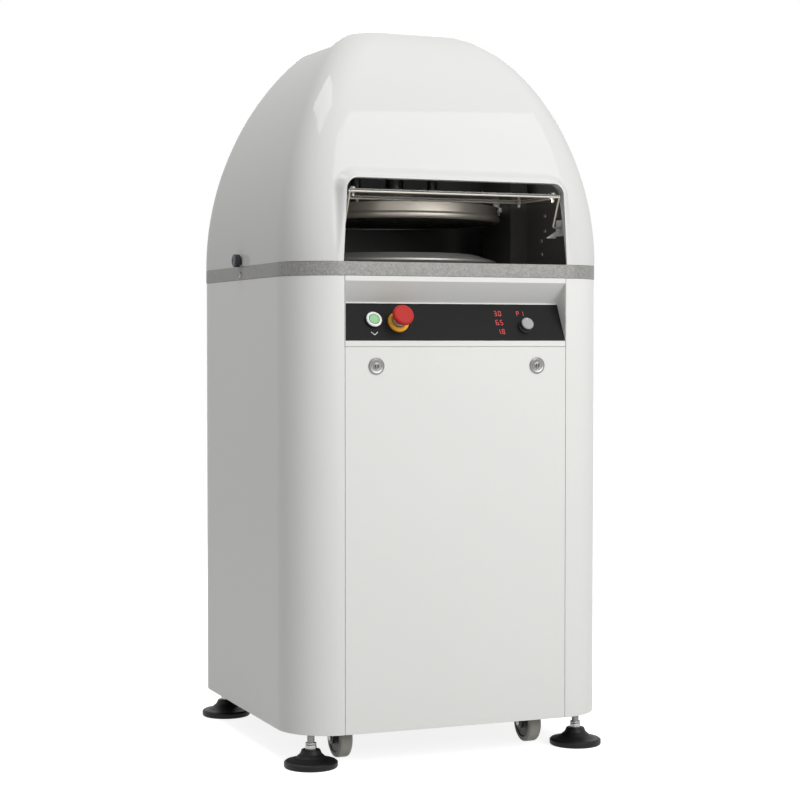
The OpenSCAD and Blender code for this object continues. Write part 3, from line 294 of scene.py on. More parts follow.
def finishes():
    """Every finish of the machine by the name of its slot."""
    c = colours()
    grey = srgb(120, 120, 120)
    skin = {"Grain": 1400.0, "Cloud": 4.0}
    metal = {"Metallic": 1.0}
    return {
        "hood_shell": finish(
            "hood_gloss", c.hood, 0.34, "skin", {"Grain": 500.0, "Cloud": 3.0}, 0.012, 0.03, 0.02, 0.0003,
            Coat_Weight=0.34, Coat_Roughness=0.04, Specular_IOR_Level=0.0,
        ),
        "cover_paint": finish("cover_powder_coat", c.covers, 0.46, "skin", skin, 0.02, 0.05, 0.08, 0.0002,
                              Coat_Weight=0.05, Coat_Roughness=0.16, Specular_IOR_Level=0.15),
        "ring_grey": finish("ring_hammered_coat", c.ring, 0.46, "speckle", {"Grain": 750.0},
                            0.3, 0.1, 0.35, 0.0004, Metallic=0.15, Specular_IOR_Level=0.2),
        "fascia_black": finish("fascia_film", c.fascia, 0.55, "skin", {"Grain": 2500.0, "Cloud": 9.0},
                               0.1, 0.05, 0.05, Specular_IOR_Level=0.1),
        "display_red": finish("display_lit", c.digits, 0.4, "skin", None, 0.1, 0.05, 0.0,
                              Emission_Color=(*c.digits, 1.0), Emission_Strength=0.25),
        "button_white": finish("button_white", srgb(235, 235, 233), 0.3, "skin", None, 0.03),
        "button_green": finish("button_green", c.green, 0.3, "skin", None, 0.06, Coat_Weight=0.3),
        "stop_yellow": finish("stop_yellow", c.yellow, 0.34, "skin", None, 0.05),
        "stop_grey": finish("stop_grey", srgb(176, 174, 170), 0.38, "skin", None, 0.06),
        "stop_red": finish("stop_red", c.red, 0.48, "skin", None, 0.06, Specular_IOR_Level=0.15),
        "dial_black": finish("dial_black", srgb(30, 30, 31), 0.42, "skin", None, 0.1),
        "dial_grey": finish("dial_grey", srgb(150, 151, 152), 0.42, "skin", None, 0.05),
        "lock_chrome": finish("lock_chrome", srgb(132, 131, 129), 0.3, "turned",
                              {"Rings": 1500.0}, 0.06, 0.06, 0.05, **metal),
        "stainless": finish("steel_turned", c.steel, 0.36, "turned", {"Rings": 700.0}, 0.14, 0.08, 0.12,
                            Metallic=0.78),
        "bright_rod": finish("rod_bright", srgb(172, 166, 156), 0.3, "brushed",
                             {"Lines": (900.0, 900.0, 60.0)}, 0.08, 0.06, 0.05, Metallic=0.5),
        "plate_alloy": finish("plate_turned", srgb(160, 158, 154), 0.4, "turned",
                              {"Rings": 520.0, "Centre": (0.0, 0.008, 0.0)}, 0.16, 0.1, 0.18, Metallic=0.65),
        "shaft_steel": finish("shaft_ground", grey, 0.28, "turned", {"Rings": 1200.0}, 0.1, 0.06, 0.08, **metal),
        "pulley_iron": finish("pulley_machined", srgb(110, 111, 112), 0.38, "turned", None, 0.14, 0.08, 0.1,
                              **metal),
        "housing_iron": finish("housing_cast", srgb(92, 94, 97), 0.6, "cast", None, 0.2, 0.1, 0.3),
        "belt_rubber": finish("belt_rubber", srgb(34, 34, 34), 0.62, "cast", {"Grain": 1500.0}, 0.25, 0.08, 0.2),
        "motor_paint": finish("motor_paint", srgb(74, 96, 122), 0.42, "skin", skin, 0.08, 0.06, 0.12),
        "tank_paint": finish("tank_paint", srgb(132, 135, 137), 0.45, "skin", skin, 0.06, 0.06, 0.1),
        "box_paint": finish("box_paint", srgb(205, 206, 203), 0.5, "skin", {"Grain": 1800.0}, 0.04, 0.05, 0.2),
        # The plates' underside shows nearly black in the photograph, whatever the slot's name
        # Painted shade: the plates are painted near-black for the shade under the head, though the slot calls
        # them white
        "press_white": finish("press_plastic_painted_shade", srgb(52, 51, 49), 0.55, "skin", None, 0.05, 0.06, 0.08),
        "sensor_grey": finish("sensor_shell", srgb(168, 168, 166), 0.4, "skin", None, 0.06),
        "guard_clear": finish("guard_sheet", srgb(226, 230, 230), 0.06, "skin", None, 0.01, 0.02, 0.0,
                              Transmission_Weight=0.92, IOR=1.49),
        "knob_dark": finish("knob_moulded", srgb(42, 38, 46), 0.4, "cast", {"Grain": 1300.0}, 0.15, 0.08, 0.15),
        "foot_black": finish("foot_moulded", srgb(17, 17, 17), 0.48, "cast", {"Grain": 1100.0}, 0.2, 0.1, 0.12,
                             Specular_IOR_Level=0.25),
        "castor_black": finish("castor_painted", srgb(42, 42, 41), 0.42, "skin", skin, 0.15, 0.08, 0.1),
        "wheel_grey": finish("wheel_tread", c.tread, 0.6, "cast", {"Grain": 800.0, "Cloud": 30.0},
                             0.12, 0.08, 0.2),
        "frame_paint": finish("frame_dark_paint", c.frame, 0.45, "skin", skin, 0.15, 0.08, 0.15),
        "zinc": finish("zinc_plated", srgb(168, 168, 166), 0.32, "brushed", {"Lines": (700.0, 700.0, 700.0)},
                       0.14, 0.1, 0.1, **metal),
        "galvanised": finish("bracket_galvanised", srgb(176, 174, 169), 0.5, "cast", {"Grain": 500.0},
                             0.1, 0.08, 0.1, Metallic=0.25),
        "mark_white": finish("mark_printed", srgb(225, 225, 224), 0.4, "skin", None, 0.03, 0.05, 0.0),
        "wheel_side": finish("wheel_core", srgb(48, 47, 44), 0.5, "cast", {"Grain": 1000.0}, 0.2, 0.08, 0.15),
        # Painted shade: the hood's inner faces are painted mid grey for the shade inside the hood
        "hood_inside_painted_shade": finish("hood_inside_painted_shade", srgb(112, 112, 111), 0.4, "skin", skin, 0.12, 0.06, 0.1),
        # Painted shade: the knives are painted near-black steel for the shade under the head
        "knife_painted_shade": finish("knife_steel_painted_shade", srgb(46, 44, 42), 0.5, "turned", None, 0.2, 0.08, 0.1, **metal),
        "sensor_tip": finish("sensor_tip", srgb(96, 44, 38), 0.35, "skin", None, 0.1),
    }


# Mesh tools, in millimetres


def lathe(profile, steps=64, closed=False, wave=None):
    """Profile of radius and height turned round Z. A wave gives flutes: count, depth, low, high."""
    bm = bmesh.new()
    rings = []
    for r, h in profile:
        if r < 1e-6:
            rings.append([bm.verts.new((0, 0, h))])
            continue
        ring = []
        for i in range(steps):
            turn = 2 * math.pi * i / steps
            reach = r
            if wave and wave[2] <= h <= wave[3]:
                reach -= wave[1] * (0.5 + 0.5 * math.cos(wave[0] * turn))
            ring.append(bm.verts.new((reach * math.cos(turn), reach * math.sin(turn), h)))
        rings.append(ring)
    for low, high in zip(rings, rings[1:] + (rings[:1] if closed else [])):
        for i in range(steps):
            j = (i + 1) % steps
            if len(low) > 1 and len(high) > 1:
                bm.faces.new((low[i], low[j], high[j], high[i]))
            elif len(high) > 1:
                bm.faces.new((low[0], high[j], high[i]))
            elif len(low) > 1:
                bm.faces.new((low[i], low[j], high[0]))
    bmesh.ops.recalc_face_normals(bm, faces=bm.faces)
    return bm


def rounded(points, radius, steps=4, closed=False):
    """Line whose inner corners are turned into arcs."""
    out = []
    last = len(points) - 1
    for i, point in enumerate(points):
        if not closed and i in (0, last):
            out.append(Vector(point))
            continue
        before, here, after = Vector(points[i - 1]), Vector(point), Vector(points[(i + 1) % len(points)])
        u, v = before - here, after - here
        angle = u.angle(v)
        if radius <= 0 or angle > math.pi - 0.02 or angle < 0.02:
            out.append(here)
            continue
        cut = min(radius / math.tan(angle / 2), 0.45 * min(u.length, v.length))
        u.normalize()
        v.normalize()
        arc_r = cut * math.tan(angle / 2)
        centre = here + (u + v).normalized() * (arc_r / math.sin(angle / 2))
        start, end = here + u * cut - centre, here + v * cut - centre
        out += [centre + arc_r * start.slerp(end, k / steps) for k in range(steps + 1)]
    return out


def turned(points, radius, steps=64, soft_steps=3, wave=None, closed=False):
    """Lathe work with soft corners."""
    return lathe(rounded(points, radius, soft_steps, closed), steps, closed, wave)


def block(low, high):
    bm = bmesh.new()
    bmesh.ops.create_cube(bm, size=1)
    low, high = Vector(low), Vector(high)
    size = high - low
    bm.transform(Matrix.Translation((low + high) / 2) @ Matrix.Diagonal((*size, 1)))
    return bm


def prism(outline, low, high, along="Z"):
    """Outline drawn out along an axis: along X it is depth and height, along Y width and height."""
    turn = {
        "Z": lambda u, v, w: (u, v, w),
        "X": lambda u, v, w: (w, u, v),
        "Y": lambda u, v, w: (u, w, v),
    }[along]
    bm = bmesh.new()
    ends = [[bm.verts.new(turn(p[0], p[1], level)) for p in outline] for level in (low, high)]
    count = len(outline)
    for i in range(count):
        j = (i + 1) % count
        bm.faces.new((ends[0][i], ends[0][j], ends[1][j], ends[1][i]))
    bm.faces.new(ends[0])
    bm.faces.new(ends[1])
    bmesh.ops.recalc_face_normals(bm, faces=bm.faces)
    return bm


def loft(rings, looped=False):
    """Skin over rings with the same number of points."""
    bm = bmesh.new()
    rows = [[bm.verts.new(p) for p in ring] for ring in rings]
    for low, high in zip(rows, rows[1:] + (rows[:1] if looped else [])):
        for i in range(len(low)):
            j = (i + 1) % len(low)
            bm.faces.new((low[i], low[j], high[j], high[i]))
    bmesh.ops.recalc_face_normals(bm, faces=bm.faces)
    return bm


def tube(points, radius, steps=14):
    """Round wire along a line of points, with closed ends."""
    points = [Vector(p) for p in points]
    bm = bmesh.new()
    rows = []
    side = None
    for i, p in enumerate(points):
        along = (points[min(i + 1, len(points) - 1)] - points[max(i - 1, 0)]).normalized()
        if side is None:
            side = along.orthogonal().normalized()
        side = (side - along * side.dot(along)).normalized()
        up = along.cross(side)
        rows.append([
            bm.verts.new(p + radius * (math.cos(a) * side + math.sin(a) * up))
            for a in (2 * math.pi * k / steps for k in range(steps))
        ])
    for low, high in zip(rows, rows[1:]):
        for i in range(steps):
            j = (i + 1) % steps
            bm.faces.new((low[i], low[j], high[j], high[i]))
    bm.faces.new(rows[0])
    bm.faces.new(rows[-1])
    bmesh.ops.recalc_face_normals(bm, faces=bm.faces)
    return bm


def holed(low, high, centre, r):
    """Plate across X with a round hole through it."""
    corners = [math.atan2(z - centre[1], y - centre[0]) for y in (low[1], high[1]) for z in (low[2], high[2])]
    turns = sorted(corners + [math.pi * k / 20 - math.pi for k in range(40)])
    edge, hole = [], []
    for turn in turns:
        c, s = math.cos(turn), math.sin(turn)
        across = ((high[1] if c > 0 else low[1]) - centre[0]) / c if abs(c) > 1e-6 else math.inf
        up = ((high[2] if s > 0 else low[2]) - centre[1]) / s if abs(s) > 1e-6 else math.inf
        reach = min(across, up)
        edge.append((centre[0] + reach * c, centre[1] + reach * s))
        hole.append((centre[0] + r * c, centre[1] + r * s))
    order = ((edge, low[0]), (hole, low[0]), (hole, high[0]), (edge, high[0]))
    return loft([[(x, *p) for p in ring] for ring, x in order], looped=True)


def quarter(cx, cy, r, first, steps):
    """Points of a quarter circle, from an angle in degrees on."""
    turns = [math.radians(first + 90 * k / steps) for k in range(steps + 1)]
    return [(cx + r * math.cos(turn), cy + r * math.sin(turn)) for turn in turns]


def hexagon(r):
    return [(r * math.cos(math.radians(60 * k)), r * math.sin(math.radians(60 * k))) for k in range(6)]


def facing(point, direction):
    """Matrix that stands a lathe's Z axis on a direction at a point."""
    return Matrix.Translation(Vector(point)) @ Vector(direction).to_track_quat("Z", "Y").to_matrix().to_4x4()


def on_slope(x, up):
    """Matrix of a place on the sloped fascia: Z points out of it and Y up it."""
    place = (x, SLOPE_FOOT[0] + up * math.sin(TILT), SLOPE_FOOT[1] + up * math.cos(TILT))
    return Matrix.Translation(place) @ Matrix.Rotation(math.pi / 2 - TILT, 4, "X")


class Shape:
    """Faces of one piece, gathered from loose meshes."""

    def __init__(self):
        self.bm = bmesh.new()
        self.finish = 0

    def add(self, part, soft=0, turn=None, segments=2):
        """Takes a loose mesh in, with its sharp edges rounded first."""
        if soft:
            sharp = [e for e in part.edges if len(e.link_faces) == 2 and e.calc_face_angle() > math.radians(30)]
            bmesh.ops.bevel(
                part, geom=sharp, offset=soft, offset_type="OFFSET", segments=segments, profile=0.5,
                affect="EDGES", clamp_overlap=True,
            )
        if turn is not None:
            part.transform(turn)
        for face in part.faces:
            face.material_index = self.finish
        loose = bpy.data.meshes.new("loose")
        part.to_mesh(loose)
        part.free()
        self.bm.from_mesh(loose)
        bpy.data.meshes.remove(loose)
        return self

    def spin(self, at, *line, **more):
        """Takes lathe work in at a place."""
        return self.add(turned(*line, **more), turn=at)


def mirrored(side):
    return Matrix.Diagonal((side, 1, 1, 1))


def corners(place):
    """Name and place of each of four like pieces."""
    x, y = place
    return [(f"{depth}_{side}", s * x, d * y) for depth, d in DEPTHS for side, s in SIDES]


def piece(name, shape, body, slot, extra=(), stands_for=None, smooth=40, even=True, paint=None):
    """A finished piece from its faces, riding on a body.

    It stands for the node of its own name unless others are given. Paint is a finish in place of the slot's
    own, and extra finishes follow it.
    """
    mesh = bpy.data.meshes.new(name)
    bmesh.ops.scale(shape.bm, vec=(MM, MM, MM), verts=shape.bm.verts)
    shape.bm.to_mesh(mesh)
    shape.bm.free()
    made = bpy.data.objects.new(name, mesh)
    bpy.context.scene.collection.objects.link(made)
    known = finishes()
    for label in (paint or slot, *extra):
        mesh.materials.append(known[label])
    mesh.shade_smooth()
    mesh.set_sharp_from_angle(angle=math.radians(smooth))
    if even:
        normals = made.modifiers.new("even_normals", "WEIGHTED_NORMAL")
        normals.keep_sharp = True
    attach(made, body)
    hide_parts(*(stands_for or [name]))
    return made


def dress(slot, *names):
    """Gives solids that stay in view the finish of a slot."""
    known = finishes()
    for name in names:
        mesh = NODES[name].data
        mesh.materials.clear()
        mesh.materials.append(known[slot])


def rod(shape, start, end, r, soft=0.4, steps=32):
    """Straight round bar with soft ends."""
    start, end = Vector(start), Vector(end)
    long = (end - start).length
    line = [(0, 0), (r, 0), (r, long), (0, long)]
    shape.spin(facing(start, end - start), line, soft, steps)


# Hood

DOME = {"ridge": 105, "corner": 93.5, "ease": 0.37, "side": (2.04, 1.36), "front": (1.55, 2.87)}
DOME_END = 0.99995
RIM = {"back": -150, "reach": 60, "soft": 3, "slope": 3.3}


def dome_half(t, inset):
    """Half width, half depth and corner radius of the dome at a share of its height."""
    a = DOME["ridge"] - inset + (HALF_W - DOME["ridge"]) * (1 - t ** DOME["side"][0]) ** (1 / DOME["side"][1])
    b = (REAR - inset) * (1 - t ** DOME["front"][0]) ** (1 / DOME["front"][1])
    r = min(DOME["corner"] * (1 - DOME["ease"] * t) - inset, a - 1, b - 1)
    return a, b, max(r, 0.5)


def spaced(parts):
    """Shares from 0 to 1: each part is its end share and its number of steps."""
    out, low = [0], 0
    for high, count in parts:
        out += [low + (high - low) * (k + 1) / count for k in range(count)]
        low = high
    return out


EDGE_RUN = spaced([(0.08, 20), (0.92, 36), (1, 20)])
PLAIN_RUN = spaced([(1, 32)])
FRONT_ARC = spaced([(0.4, 22), (1, 14)])
REAR_ARC = spaced([(1, 18)])


def dome_ring(t, inset, z):
    """Points round the dome at a level, from the front left corner to the right."""
    a, b, r = dome_half(t, inset)
    x, y = a - r, b - r
    out = []

    def run(start, end, shares):
        for s in shares[:-1]:
            out.append(Vector((start[0] + (end[0] - start[0]) * s, start[1] + (end[1] - start[1]) * s, z)))

    def arc(cx, cy, first, shares):
        for s in shares[:-1]:
            turn = math.radians(first + 90 * s)
            out.append(Vector((cx + r * math.cos(turn), cy + r * math.sin(turn), z)))

    run((-x, -b), (x, -b), EDGE_RUN)
    arc(x, -y, -90, FRONT_ARC)
    run((a, -y), (a, y), PLAIN_RUN)
    arc(x, y, 0, REAR_ARC)
    run((x, b), (-x, b), PLAIN_RUN)
    arc(-x, y, 90, REAR_ARC)
    run((-a, y), (-a, -y), PLAIN_RUN)
    arc(-x, -y, 180, [1 - s for s in reversed(FRONT_ARC)])
    return out


def window_gap(x, z):
    """How far a point of the front lies outside the window's outline."""
    half = WINDOW_HALF - WINDOW_TAPER * (z - RING_TOP) / WINDOW_H
    across, above = abs(x) - half + WINDOW_R, z - RING_TOP - WINDOW_H + WINDOW_R
    return math.hypot(max(across, 0), max(above, 0)) + min(max(across, above), 0) - WINDOW_R


def with_rim(point):
    """Brings the dome's front out to the rim round the window, with a soft hollow behind the rim."""
    gap = window_gap(point.x, point.z)
    if point.y > RIM["back"] or gap > RIM["reach"]:
        return point
    past = gap - sizes().rim_width / MM
    rise = RIM["soft"] * math.log1p(math.exp(min(past / RIM["soft"], 30)))
    rim = FRONT + rise * RIM["slope"]
    blend = sizes().rim_blend / MM
    share = max(blend - abs(point.y - rim), 0) / blend
    point.y = max(min(point.y, rim) - share * share * blend / 4, FRONT)
    return point


def hood_levels():
    """Shares of the dome's height, close together where the rim is and at the top."""
    low, high = 112 / HOOD_H, 196 / HOOD_H
    levels = [low * i / 26 for i in range(26)] + [low + (high - low) * i / 42 for i in range(42)]
    return levels + [1 - (1 - high) * (1 - i / 56) ** 2.4 for i in range(56)] + [DOME_END]


def window_outline():
    """Outline of the window in width and height, from foot to foot."""
    low, top = RING_TOP - 6, RING_TOP + WINDOW_H
    foot, head = WINDOW_HALF + 0.2, WINDOW_HALF - WINDOW_TAPER
    return rounded([(foot, low), (head, top), (-head, top), (-foot, low)], WINDOW_R, 12)


def cut_away(made, cutter_shape, smooth):
    """Cuts a shape out of a piece for good, and shades it anew."""
    mesh = bpy.data.meshes.new("cutter")
    bmesh.ops.scale(cutter_shape.bm, vec=(MM, MM, MM), verts=cutter_shape.bm.verts)
    cutter_shape.bm.to_mesh(mesh)
    cutter_shape.bm.free()
    cutter = bpy.data.objects.new("cutter", mesh)
    bpy.context.scene.collection.objects.link(cutter)
    cut = made.modifiers.new("cut", "BOOLEAN")
    cut.object = cutter
    cut.operation = "DIFFERENCE"
    cut.solver = "EXACT"
    bpy.context.view_layer.update()
    whole = made.evaluated_get(bpy.context.evaluated_depsgraph_get())
    done = bpy.data.meshes.new_from_object(whole)
    made.modifiers.remove(cut)
    made.data = done
    bpy.data.objects.remove(cutter)
    bpy.data.meshes.remove(mesh)
    done.shade_smooth()
    done.set_sharp_from_angle(angle=math.radians(smooth))


class ROUNDER_OT_hood(bpy.types.Operator):
    """Makes the glossy domed hood with the rim round its window"""

    bl_idname = "rounder.hood"
    bl_label = "Hood"

    def execute(self, context):
        wall = sizes().hood_wall / MM
        outer = [[with_rim(p) for p in dome_ring(t, 0, RING_TOP + HOOD_H * t)] for t in hood_levels()]
        inner = [dome_ring(t, wall, RING_TOP + (HOOD_H - wall) * t) for t in hood_levels()[::3] + [DOME_END]]
        bm = loft([*reversed(outer), *inner])
        for rim in (outer[-1], inner[-1]):
            ring = [min(bm.verts, key=lambda v, p=p: (v.co - p).length_squared) for p in rim]
            bm.faces.new(ring)
        bmesh.ops.recalc_face_normals(bm, faces=bm.faces)
        shape = Shape().add(bm)
        made = piece("hood", shape, "hood", "hood_shell", ["hood_inside_painted_shade"], smooth=50, even=False)
        # The inner faces take the second finish, grey painted shade for the dark inside
        faces = list(made.data.polygons)
        for face in faces[len(outer) * len(outer[0]):-2] + faces[-1:]:
            face.material_index = 1
        cutter = Shape().add(prism(window_outline(), FRONT - 20, FRONT + 90, "Y"))
        for _, side in SIDES:
            rod(cutter, (side * 290, 0, KNOB_Z), (side * 330, 0, KNOB_Z), 4.5, 0)
        cut_away(made, cutter, 38)
        return {"FINISHED"}


class ROUNDER_OT_hood_knobs(bpy.types.Operator):
    """Makes the fluted knobs that hold the hood"""

    bl_idname = "rounder.hood_knobs"
    bl_label = "Hood knobs"

    def execute(self, context):
        line = [(0, 0), (9.5, 0), (12.5, 2), (12.5, 12), (10.5, 14), (6, 14), (5, 13),
                (0, 13)]
        flutes = (16, 1.1, 1.5, 12.5)
        for side_name, side in SIDES:
            name = f"hood_knob_{side_name}"
            shape = Shape()
            at = facing((side * 321.5, 0, KNOB_Z), (side, 0, 0))
            shape.spin(at, line, 0.8, 96, wave=flutes)
            rod(shape, (side * 304, 0, KNOB_Z), (side * 322, 0, KNOB_Z), 4)
            piece(name, shape, name, "knob_dark")
        return {"FINISHED"}


# Cabinet


def corner_line(inset):
    """Plan of the right cover from its front seam round to its rear seam."""
    r = CORNER_R - inset
    x, y = HALF_W - CORNER_R, REAR - CORNER_R
    return quarter(x, -y, r, -90, 28) + quarter(x, y, r, 0, 28)


class ROUNDER_OT_covers(bpy.types.Operator):
    """Makes the cabinet's round-cornered side covers and its front access panel"""

    bl_idname = "rounder.covers"
    bl_label = "Covers"

    def execute(self, context):
        soft = sizes().sheet_edge / MM
        for name, side in SIDES:
            shape = Shape()
            mirror = mirrored(side)
            skin = corner_line(0) + corner_line(SHEET)[::-1]
            shape.add(prism(skin, SKIRT, CABINET_TOP), soft, mirror)
            hem = corner_line(SHEET) + corner_line(SHEET + 12)[::-1]
            shape.add(prism(hem, SKIRT, SKIRT + 1.5), 0.4, mirror)
            shape.add(block((205, FRONT + SHEET, SKIRT), (226, FRONT + 2 * SHEET, PANEL_TOP)), 0.4, mirror)
            shape.add(block((205, REAR - 2 * SHEET, SKIRT), (226, REAR - SHEET, CABINET_TOP)), 0.4, mirror)
            bmesh.ops.recalc_face_normals(shape.bm, faces=shape.bm.faces)
            node_name = f"side_cover_{name}"
            piece(node_name, shape, "frame", "cover_paint")
        panel = Shape()
        panel.add(block((-PANEL_HALF, FRONT, SKIRT), (PANEL_HALF, FRONT + SHEET, PANEL_TOP)), soft)
        near, far = FRONT + SHEET, FRONT + SHEET + 12
        for x in (-120, 120):
            low, high = x - 12, x + 12
            rib = rounded([(low, near), (low, far), (high, far), (high, near)], 2)
            panel.add(prism(rib, 114, 720), 0.3)
        piece("access_panel", panel, "panel", "cover_paint")
        dress("cover_paint", "rear_cover")
        return {"FINISHED"}


def hex_screw(shape, at):
    """Button head with a hexagon socket, on a matrix whose Z points out of the head."""
    rim_r, top, floor = 2.3, 3, 1.2
    head = [(5.5, 0), (5.5, 0.9), (4.6, 2.2), (3.2, top), (rim_r, top)]
    shape.spin(at, head, 0.5, 36, 2)
    turns = [2 * math.pi * k / 36 for k in range(36)]
    rim = [(rim_r * math.cos(turn), rim_r * math.sin(turn), top) for turn in turns]
    ends = [Vector(p) for p in hexagon(2.2)]
    walls = []
    for level in (top - 0.05, floor):
        sides = zip(ends, ends[1:] + ends[:1])
        walls.append([(*p.lerp(q, k / 6), level) for p, q in sides for k in range(6)])
    middle = [(0.3 * x, 0.3 * y, floor) for x, y, _ in walls[1]]
    shape.add(loft([rim, *walls, middle]), turn=at)


class ROUNDER_OT_screws(bpy.types.Operator):
    """Makes the socket screws of the rear cover, the side plates and the ring"""

    bl_idname = "rounder.screws"
    bl_label = "Screws"

    def execute(self, context):
        shape = Shape()
        rows, lowest, pitch = 4, SKIRT + 60, 238
        for x in (-213, 213):
            for i in range(rows):
                hex_screw(shape, facing((x, REAR, lowest + i * pitch), (0, 1, 0)))
        for _, side in SIDES:
            for depth, up in ((169, 103), (120, 102), (169, 73), (184, 54), (182, 27)):
                hex_screw(shape, facing((side * 262, FRONT + depth, RING_TOP + up), (-side, 0, 0)))
            hex_screw(shape, facing((side * 321, 0, 908), (side, 0, 0)))
        piece("screws", shape, "frame", "stainless")
        return {"FINISHED"}


class ROUNDER_OT_locks(bpy.types.Operator):
    """Makes the two panel locks with their keyed cores"""

    bl_idname = "rounder.locks"
    bl_label = "Locks"

    def execute(self, context):
        heads = Shape()
        line = [(6.1, -4.5), (6.1, 1.4), (8.6, 1.4), (9.6, 2.4), (12.6, 3), (15.5, 1.2), (15.5, 0),
                (9, 0), (9, -4.5)]
        across, up = LOCK
        places = [facing((side * across, FRONT, up), (0, -1, 0)) for _, side in SIDES]
        for at in places:
            heads.spin(at, line, 0.5, 72, closed=True)
        piece("lock_housings", heads, "panel", "lock_chrome")
        for (name, side), at in zip(SIDES, places):
            core = Shape()
            core.spin(at, [(0, -6), (6, -6), (6, 2.1), (4.6, 2.5), (0, 2.5)], 0.3, 48)
            core.add(block((-1, -4, 2), (1, 4, 2.9)), 0.3, at)
            core.finish = 1
            core.spin(at, [(0, 2.2), (4.3, 2.2), (4.3, 2.56), (0, 2.56)], 0.05, 40)
            core.finish = 0
            x = side * across
            core.add(block((x - 7, FRONT + 5, up - 54), (x + 7, FRONT + 8, up + 7)), 0.6)
            piece(f"lock_cam_{name}", core, f"lock_{name}", "lock_chrome", ["dial_black"])
        return {"FINISHED"}


# Console and controls


SEGMENTS = {"0": "abcdef", "1": "bc", "3": "abcdg", "5": "acdfg", "6": "acdefg", "8": "abcdefg", "P": "abefg"}
BAR_LEVELS = {"a": 0.5, "g": 0, "d": -0.5, "b": 0.25, "f": 0.25, "c": -0.25, "e": -0.25}
LIT = (FASCIA - 0.05, FASCIA + 0.3)


def numeral(shape, sign, x, up):
    """A sign of lit bars on the fascia."""
    wide, high, bar, gap = 4.4, 9.6, 0.8, 0.3
    for key in SEGMENTS[sign]:
        flat = key in "agd"
        across = 0 if flat else wide / 2 * (1 if key in "bc" else -1)
        level = BAR_LEVELS[key] * high
        reach = (wide if flat else high / 2) / 2 - gap
        u, v = (reach, bar / 2) if flat else (bar / 2, reach)
        lit = block((across - u, level - v, LIT[0]), (across + u, level + v, LIT[1]))
        shape.add(lit, turn=on_slope(x, up))


class ROUNDER_OT_console(bpy.types.Operator):
    """Makes the folded console sheet, the dark fascia and the lit numbers"""

    bl_idname = "rounder.console"
    bl_label = "Console"

    def execute(self, context):
        cheek = [(FRONT, SLOPE_FOOT[1]), SLOPE_FOOT, SLOPE_EDGE, (FRONT, LIP)]
        face = [(FRONT, CONSOLE_LOW), *cheek, (FRONT, CABINET_TOP)]
        back = [(y + SHEET / math.cos(TILT), z) for y, z in face]
        sheet = Shape()
        outline = rounded(face, 1.2) + rounded(back, 1.2)[::-1]
        sheet.add(prism(outline, -PANEL_HALF, PANEL_HALF, "X"))
        thin = 0.5
        for low in (-PANEL_HALF, PANEL_HALF - thin):
            sheet.add(prism(cheek, low, low + thin, "X"))
        sheet.add(block((-PANEL_HALF, FRONT + 2.4, 758), (PANEL_HALF, FRONT + 3.2, CONSOLE_LOW + 2)), 0.2)
        piece("control_console", sheet, "frame", "cover_paint", smooth=30)
        film = Shape()
        half = PANEL_HALF - thin - 0.2
        film.add(block((-half, 0.5, 0), (half, SLOPE_LEN - 3, FASCIA)), 0.3, on_slope(0, 0))
        film.finish = 1
        chevron = [(-7, 5.2), (-6.2, 6), (0, 0.4), (6.2, 6), (7, 5.2), (0, -1.2)]
        film.add(prism(chevron, FASCIA - 0.1, FASCIA + 0.12), turn=on_slope(START[0] - 1.5, 12))
        piece("control_fascia", film, "frame", "fascia_black", ["mark_white"])
        lit = Shape()
        tens, ones, top_row = 87.5, 96.5, 57
        for up, (first, second) in ((top_row, "30"), (38, "65"), (19, "18")):
            numeral(lit, first, tens, up)
            numeral(lit, second, ones, up)
            lit.add(block((-0.5, -5, LIT[0]), (0.5, -4, LIT[1])), turn=on_slope(92, up))
        numeral(lit, "P", 134, top_row)
        numeral(lit, "1", 143, top_row)
        piece("display_digits", lit, "frame", "display_red")
        return {"FINISHED"}


